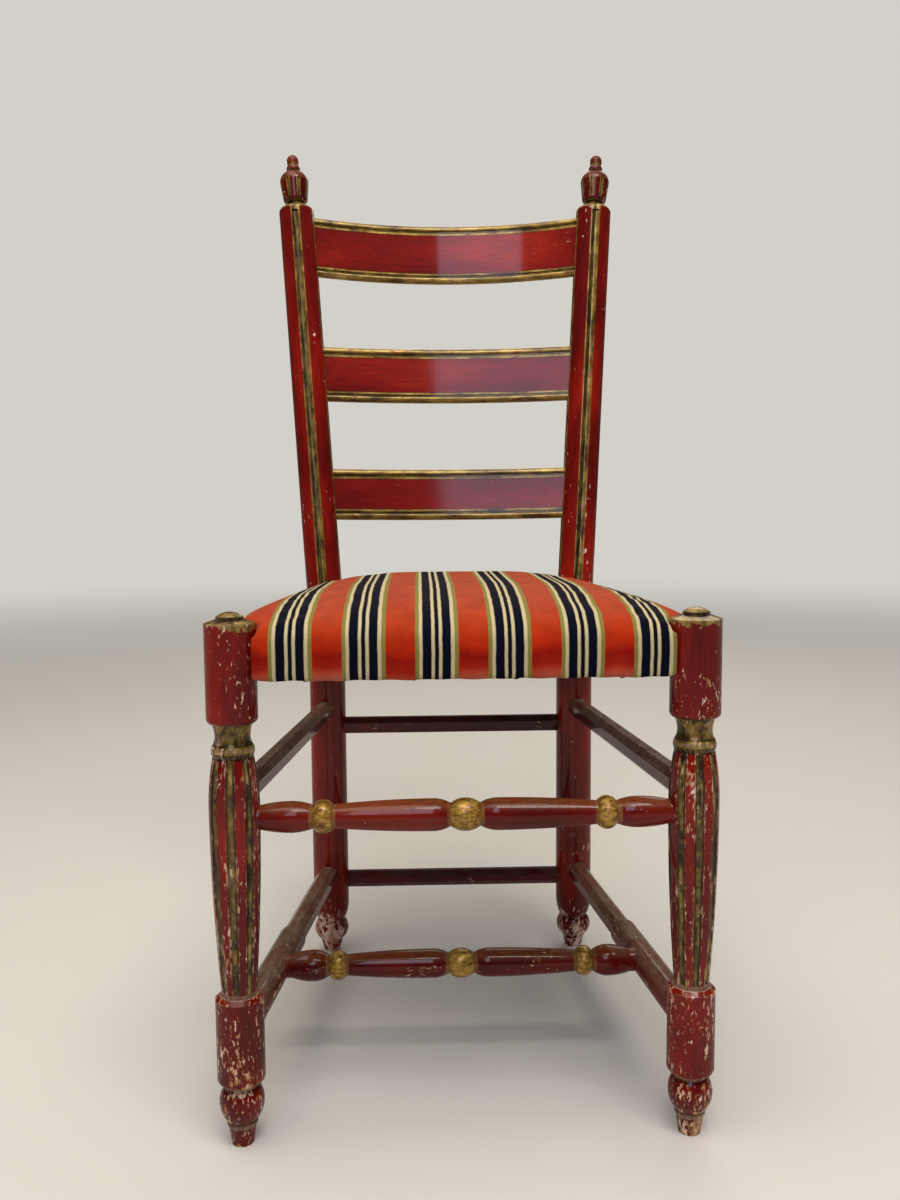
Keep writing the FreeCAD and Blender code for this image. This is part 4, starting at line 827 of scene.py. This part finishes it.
for side in (-1, 1):
    cut_away(seat, round_cutter(LEG_RADIUS + NOTCH_ROOM, side * LEG_X, LEG_Y, BELOW_SEAT, ABOVE_SEAT))
    cutter = round_cutter(POST_RADIUS + NOTCH_ROOM, side * POST_X, POST_Y, BELOW_SEAT, BEND_Z)
    bpy.ops.object.mode_set(mode="EDIT")
    pick("FACE", lambda face: face.normal.z > 0.9)
    lean = (side * POST_LEAN.x * LEAN_CUT, POST_LEAN.y * LEAN_CUT, POST_LEAN.z * LEAN_CUT)
    bpy.ops.mesh.extrude_region_move(TRANSFORM_OT_translate={"value": lean})
    bpy.ops.object.mode_set(mode="OBJECT")
    cut_away(seat, cutter)
print("notched seat:", len(seat.data.polygons), "faces")

# %% [markdown]
# ## Stuffing the seat
# Real stuffing pushes the cover out from within, and the cover holds it in where it is tacked
# or notched. So the form is remeshed to even faces and drawn down a little beside the legs and
# posts, where the tacks pull it. Then it is simulated as cloth with air pressure inside, while
# the part over the rails and the notches stay pinned. A cap keeps each point near its start, so
# the seat keeps its size.

# %% Draw the cover down beside the legs
WEAVE_STEP = 5.0 * MM
OVER_RAILS = 440 * MM
FREE_RISE = 10 * MM
PULL_DOWN = 4.2 * MM
PULL_REACH = 55 * MM
PULL_FROM, PULL_FULL = OVER_RAILS + 3 * MM, OVER_RAILS + 15 * MM


def off_axis(point):
    """How far a point is from the nearest leg's or post's axis, in plan."""
    climb = max(point.z - BEND_Z, 0) / POST_LEAN.z
    away = []
    for side in (-1, 1):
        away.append(math.hypot(point.x - side * LEG_X, point.y - LEG_Y))
        away.append(math.hypot(point.x - side * (POST_X + climb * POST_LEAN.x),
                               point.y - POST_Y - climb * POST_LEAN.y))
    return min(away)


apply_modifier(seat, "REMESH", mode="VOXEL", voxel_size=WEAVE_STEP)
apply_modifier(seat, "SMOOTH", factor=0.5, iterations=3)
free = seat.vertex_groups.new(name="free")
for vertex in seat.data.vertices:
    near = max(0.0, 1 - (off_axis(vertex.co) - LEG_RADIUS) / PULL_REACH)
    vertex.co.z -= PULL_DOWN * near * near * part_way(vertex.co.z, PULL_FROM, PULL_FULL)
    free.add([vertex.index], part_way(vertex.co.z, OVER_RAILS, OVER_RAILS + FREE_RISE), "REPLACE")
apply_modifier(seat, "SMOOTH", factor=0.5, iterations=14, vertex_group="free")
print("even cover:", len(seat.data.polygons), "faces")

# %% Swell the cover
SWELL_CAP = 6.0 * MM
SWELL_FRAMES = 20
HELD_BELOW, FREE_ABOVE = 420 * MM, 446 * MM
HELD_NEAR = LEG_RADIUS + NOTCH_ROOM + 6 * MM

held = seat.vertex_groups.new(name="held")
for vertex in seat.data.vertices:
    hold = 1.0 if off_axis(vertex.co) < HELD_NEAR else part_way(vertex.co.z, FREE_ABOVE, HELD_BELOW)
    held.add([vertex.index], hold, "REPLACE")
start = [vertex.co.copy() for vertex in seat.data.vertices]
cloth = seat.modifiers.new("stuffing", "CLOTH")
cloth.settings.quality = 5
cloth.settings.use_pressure = True
cloth.settings.uniform_pressure_force = 4
cloth.settings.effector_weights.gravity = 0
cloth.settings.vertex_group_mass = "held"
for moment in range(1, SWELL_FRAMES + 1):
    scene.frame_set(moment)
bpy.ops.object.modifier_apply(modifier=cloth.name)
scene.frame_set(1)
moved = 0.0
for vertex, place in zip(seat.data.vertices, start):
    step = vertex.co - place
    moved = max(moved, step.length)
    if step.length > SWELL_CAP:
        vertex.co = place + step * (SWELL_CAP / step.length)
print("swelling:", round(moved * 1000, 1), "mm before the cap")
apply_modifier(seat, "SMOOTH", factor=0.5, iterations=2)
apply_modifier(seat, "SUBSURF", levels=1, render_levels=1)
print("seat cloth:", len(seat.data.polygons), "faces")

# %% [markdown]
# Inside, the seat is hollow where the rails and webbing are. That room is a block with the
# seat's plan, cut from beneath.

# %% Make room for the rails
ROOM_INSET = 8.2 * MM
WEBBING_ROOM = 0.3 * MM
room_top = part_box("seat_webbing")[1][2] + WEBBING_ROOM
room_block = start_block("room", ROOM_INSET, BELOW_SEAT, room_top)
bpy.ops.object.mode_set(mode="OBJECT")
cut_away(seat, room_block)
print("seat with its hollow:", len(seat.data.polygons), "faces")

# %% [markdown]
# The velvet's lower edge is folded under and tacked by hand, so it isn't straight. It dips
# between the tacks, and small folds make the dips uneven. Only the lowest few millimetres of
# the skirt move.

# %% Let the hem dip between its tacks
HEM_REACH = 7 * MM
HEM_DROP = 1.5 * MM
HEM_WAVE = 0.35 * MM
TACK_SPACING = 27 * MM
WALL_DEPTH = 12 * MM
NOTCH_EDGE = LEG_RADIUS + 2 * MM
for vertex in seat.data.vertices:
    point = vertex.co
    if point.z > bottom + HEM_REACH or off_axis(point) < NOTCH_EDGE:
        continue
    on_front_or_back = min(point.y - seat_front, seat_back - point.y) < WALL_DEPTH
    along = (point.x if on_front_or_back else point.y) / TACK_SPACING
    wave = math.sin(along * math.tau) + 0.6 * math.sin(along * 2.7)
    low = 1 - max(0.0, point.z - bottom) / HEM_REACH
    point.z -= (HEM_DROP + HEM_WAVE * wave) * low * low
print("lowest point of the hem:", round(min(vertex.co.z for vertex in seat.data.vertices) * 1000, 1), "mm")

# %% [markdown]
# ## Striped velvet
# The velvet has groups of black, cream and olive stripes on orange red, 60 mm apart, and they
# run from front to back. On the walls at the sides the cloth turns down, so there the stripes
# are counted down the wall. An attribute on the mesh holds how far across the cloth each point
# is, in millimetres, so the stripes keep their width.

# %% Measure across the cloth
SIDE_WALL = 15 * MM
across = seat.data.attributes.new("across_cloth", "FLOAT", "POINT")
for vertex, entry in zip(seat.data.vertices, across.data):
    point = vertex.co
    on_side = LEG_Y < point.y < POST_Y and abs(point.x) > side_x(point.y) - SIDE_WALL
    drop = max(0.0, SEAT_EDGE - point.z) if on_side else 0.0
    entry.value = math.copysign(abs(point.x) + drop, point.x) / MM
print("cloth is", round(max(entry.value for entry in across.data)), "mm to each side")

# %% [markdown]
# Velvet's pile stands up and catches the light at its edges, so it has a soft sheen that is
# strongest where the cloth turns away. The orange red also changes up the wall as painted light:
# it is painted paler on the top, as light from above, darker down the front wall, as painted
# shade, and paler again at the lower edge, as painted sheen where the cloth turns under. The
# stripes are stops of one colour ramp, as wide as they are woven, and a second ramp says where
# they end.

# %% The velvet
OLIVE, CREAM, BLACK, SOFT_BLACK = "#7b7239", "#b8aa84", "#050817", "#060914"
STRIPE_PERIOD = 60.0
FIRST_GROUP = -160.95    # where one group starts, from the seat's middle
STRIPES = ((3.1, OLIVE), (2.8, CREAM), (7.4, BLACK), (2.6, CREAM), (3.4, SOFT_BLACK),
           (2.7, CREAM), (7.2, BLACK), (3.0, CREAM), (3.4, OLIVE))
STRIPE_BLUR = 0.35
STRIPE_WAVER = 1.2
WAVERS, LIGHT_WOBBLES, MOTTLES = 60.0, 16.0, 55.0    # to a metre
LIGHT_WOBBLE_HEIGHT = 26 * MM
LIGHT_RAMP_LOW, LIGHT_RAMP_HIGH = 9 * MM, 13 * MM    # the wave adds half its height on average
PILE = 0.9    # real pile is finer, drawn coarser so that it shows
# painted light up the seat: pale at the bottom as painted sheen, dark low on the wall as painted shade, pale
# on top as painted top light
LIGHT_AND_SHADE_UP_THE_SEAT = ((0.0, "#a8604e"), (0.1, "#ac452f"), (0.2, "#98200f"), (0.34, "#8c1307"),
               (0.46, "#ac270a"), (0.66, "#a43111"), (1.0, "#a0432a"))

velvet, tree, point = new_material("striped_velvet")
waver = add(tree, "TexNoise", [point, WAVERS, 2.0])
measured = add(tree, "Attribute", attribute_name="across_cloth").outputs["Fac"]
wavering = add(tree, "Math", [waver, STRIPE_WAVER, measured], "MULTIPLY_ADD")
from_first = add(tree, "Math", [wavering, FIRST_GROUP + STRIPE_WAVER / 2], "SUBTRACT")
counted = add(tree, "Math", [from_first, STRIPE_PERIOD], "DIVIDE")
in_period = add(tree, "Math", [counted, 1.0, 0.0], "WRAP")
stops, at = [], 0.0
for width, code in STRIPES:
    stops += [((at + STRIPE_BLUR) / STRIPE_PERIOD, code), ((at + width - STRIPE_BLUR) / STRIPE_PERIOD, code)]
    at += width
stripe = set_stops(add(tree, "ValToRGB", [in_period]), stops)
past_group = set_stops(add(tree, "ValToRGB", [in_period]), [
    ((at - STRIPE_BLUR) / STRIPE_PERIOD, "#000000"), ((at + STRIPE_BLUR) / STRIPE_PERIOD, "#ffffff")])

# painted light and shade by height, with a noise that makes their borders wobble
light_wobble = add(tree, "TexNoise", {"Vector": point, "Scale": LIGHT_WOBBLES, "Detail": 4.0, "Distortion": 0.4})
level = add(tree, "Math", [light_wobble, LIGHT_WOBBLE_HEIGHT, add(tree, "SeparateXYZ", [point]).outputs["Z"]], "MULTIPLY_ADD")
level = add(tree, "MapRange", [level, bottom + LIGHT_RAMP_LOW, crown + LIGHT_RAMP_HIGH])
orange = set_stops(add(tree, "ValToRGB", [level]), LIGHT_AND_SHADE_UP_THE_SEAT)
mottle = add(tree, "TexNoise", [point, MOTTLES, 5.0, 0.6])
mottle_shade = add(tree, "MapRange", [mottle, 0.35, 0.65, 0.84, 1.08])
orange = add(tree, "Mix", [1.0, orange, mottle_shade], data_type="RGBA", blend_type="MULTIPLY")
woven = add(tree, "Mix", [past_group, stripe, orange], data_type="RGBA")
pile = add(tree, "TexNoise", [point, 1000 / PILE, 2.0])
pile_shade = add(tree, "MapRange", [pile, 0.3, 0.7, 0.86, 1.1])
woven = add(tree, "Mix", [1.0, woven, pile_shade], data_type="RGBA", blend_type="MULTIPLY")
add(tree, "OutputMaterial", [add(tree, "BsdfPrincipled", {
    "Base Color": woven,
    "Roughness": 0.9,
    "Specular IOR Level": 0.06,
    "Sheen Weight": 0.1,
    "Sheen Roughness": 0.35,
    "Sheen Tint": paint_chip("#ffd9c4"),
    "Normal": add(tree, "Bump", {"Strength": 0.35, "Distance": 0.4 * MM, "Height": pile}),
})])
seat.data.materials.append(velvet)
only(seat)
bpy.ops.object.shade_smooth_by_angle(angle=math.radians(50))
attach(seat, "root")
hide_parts("seat_cover", "seat_stuffing")

# %% [markdown]
# ## The cloth beneath
# A thin black cloth is stretched under the rails and tacked there, to catch dust. It is a flat
# sheet with the seat's plan, notched round the legs and posts, and it hangs down a little in
# the middle. A grid is narrowed at the back, given its thickness, notched and then sagged.

# %% The dust cloth
CLOTH_THICK = 0.6 * MM
CLOTH_ROOM = 0.1 * MM
CLOTH_SAG = 4.0 * MM
SAG_FROM, SAG_FULL = 27 * MM, 162 * MM
CUT_DEPTH = 20 * MM
cloth_low, cloth_high = (Vector(corner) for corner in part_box("dust_cloth"))
cloth_depth = cloth_high.y - cloth_low.y
cloth_half = cloth_high.x
cloth_level = cloth_high.z - CLOTH_THICK / 2 - CLOTH_ROOM
cloth_middle = (cloth_low.y + cloth_high.y) / 2
dust_cloth = start_grid("black_dust_cloth", (44, 44), 0, cloth_middle, cloth_level, 2 * cloth_half,
                        cloth_depth)
for vertex in dust_cloth.data.vertices:
    vertex.co.x *= 1 - (vertex.co.y - cloth_low.y) * SIDE_SLOPE / cloth_half
apply_modifier(dust_cloth, "SOLIDIFY", thickness=CLOTH_THICK, offset=0)
for side in (-1, 1):
    for x, y, radius in ((LEG_X, LEG_Y, LEG_RADIUS), (POST_X, POST_Y, POST_RADIUS)):
        cut_away(dust_cloth, round_cutter(radius + NOTCH_ROOM, side * x, y,
                                          cloth_level - CUT_DEPTH, cloth_level + CUT_DEPTH))
for vertex in dust_cloth.data.vertices:
    point = vertex.co
    inside = min(point.y - cloth_low.y, cloth_high.y - point.y,
                 cloth_half - (point.y - cloth_low.y) * SIDE_SLOPE - abs(point.x))
    ease = part_way(inside, SAG_FROM, SAG_FULL)
    point.z -= CLOTH_SAG * ease * ease * (3 - 2 * ease)

# %% [markdown]
# The cloth is calico, a plain weave, dyed black and grey with lint. A wave node draws about 3.2
# waves to a metre for each unit of its scale. One function crosses two of them to a weave whose
# threads are a given distance apart, and the jute webbing uses it too.

# %% Calico
THREAD = 1.2    # real threads are 0.4 mm apart, drawn coarser so that they show
LINT_SPOTS = 30.0    # to a metre
WAVES_PER_SCALE = 3.2


def weave(tree, point, spacing, distortion=0.0):
    """Threads that cross, as far apart as the spacing in millimetres."""
    ways = [add(tree, "TexWave", {"Vector": point, "Scale": 1000 / spacing / WAVES_PER_SCALE,
                                  "Distortion": distortion}, bands_direction=axis).outputs["Fac"]
            for axis in ("X", "Y")]
    return add(tree, "Math", ways, "MULTIPLY")


calico, tree, point = new_material("black_calico")
lint = add(tree, "TexNoise", [point, LINT_SPOTS, 6.0])
lint_colour = set_stops(add(tree, "ValToRGB", [lint]), [(0.4, "#141414"), (0.65, "#24221f")])
add(tree, "OutputMaterial", [add(tree, "BsdfPrincipled", {
    "Base Color": lint_colour, "Roughness": 0.9, "Specular IOR Level": 0.2,
    "Normal": add(tree, "Bump", {"Strength": 0.4, "Distance": 0.3 * MM,
                                 "Height": weave(tree, point, THREAD)})})])
dust_cloth.data.materials.append(calico)
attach(dust_cloth, "root")
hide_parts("dust_cloth")

# %% [markdown]
# ## Webbing
# Jute webbing carries the stuffing. Four straps run across and four run from front to back,
# woven over and under each other and tacked on top of the rails. One function lays a strap,
# which is a long strip whose height follows the crossings, and the eight become one piece.

# %% The webbing
STRAP_WIDTH = 50 * MM
STRAP_THICK = 1.2 * MM
STRAP_SHARES = (0.125, 0.375, 0.625, 0.875)
STRAP_SPREAD = POST_X - 34 * MM
RAIL_OUT = 7.0 * MM
CROSSING_EASE = 14 * MM
CROSSING_GAP = 0.1 * MM
JUTE_YARN = 2.5
web_low, web_high = (Vector(corner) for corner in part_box("seat_webbing"))
web_middle, web_level = (web_low.y + web_high.y) / 2, (web_low.z + web_high.z) / 2
cross_y = [LEG_Y + (POST_Y - LEG_Y) * share for share in STRAP_SHARES]
long_x = [STRAP_SPREAD * (2 * share - 1) for share in STRAP_SHARES]


def strap(name, x, y, length, across, number):
    """Lay one strap over and under the ones that it crosses."""
    size = (length, STRAP_WIDTH) if across else (STRAP_WIDTH, length)
    piece = start_grid(name, (72, 4), x, y, web_level, *size, turn=0 if across else math.pi / 2)
    for vertex in piece.data.vertices:
        at = vertex.co.x if across else vertex.co.y
        lift = 0.0
        for crossing, place in enumerate(long_x if across else cross_y):
            near = part_way(abs(at - place), STRAP_WIDTH / 2 + CROSSING_EASE, STRAP_WIDTH / 2)
            over = 1 if (crossing + number + across) % 2 else -1
            lift += over * near * near * (3 - 2 * near)
        vertex.co.z += lift * (STRAP_THICK / 2 + CROSSING_GAP)
    apply_modifier(piece, "SOLIDIFY", thickness=STRAP_THICK, offset=0)
    return piece


straps = []
for number, y in enumerate(cross_y):
    length = 2 * (LEG_X - (y - LEG_Y) * SIDE_SLOPE + RAIL_OUT)
    straps.append(strap("cross_strap", 0, y, length, 1, number))
for number, x in enumerate(long_x):
    straps.append(strap("long_strap", x, web_middle, web_high.y - web_low.y, 0, number))
only(*straps)
bpy.ops.object.join()
webbing = bpy.context.object
webbing.name = "jute_webbing"

jute, tree, point = new_material("woven_jute")
yarn = weave(tree, point, JUTE_YARN, 0.6)
yarn_colour = set_stops(add(tree, "ValToRGB", [yarn]), [
    (0.0, "#6d5433"), (0.5, "#a5855a"), (1.0, "#c4a67a")])
add(tree, "OutputMaterial", [add(tree, "BsdfPrincipled", {
    "Base Color": yarn_colour, "Roughness": 0.85,
    "Normal": add(tree, "Bump", {"Strength": 0.5, "Distance": 0.5 * MM, "Height": yarn})})])
webbing.data.materials.append(jute)
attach(webbing, "root")
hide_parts("seat_webbing")
print("webbing:", len(webbing.data.polygons), "faces")
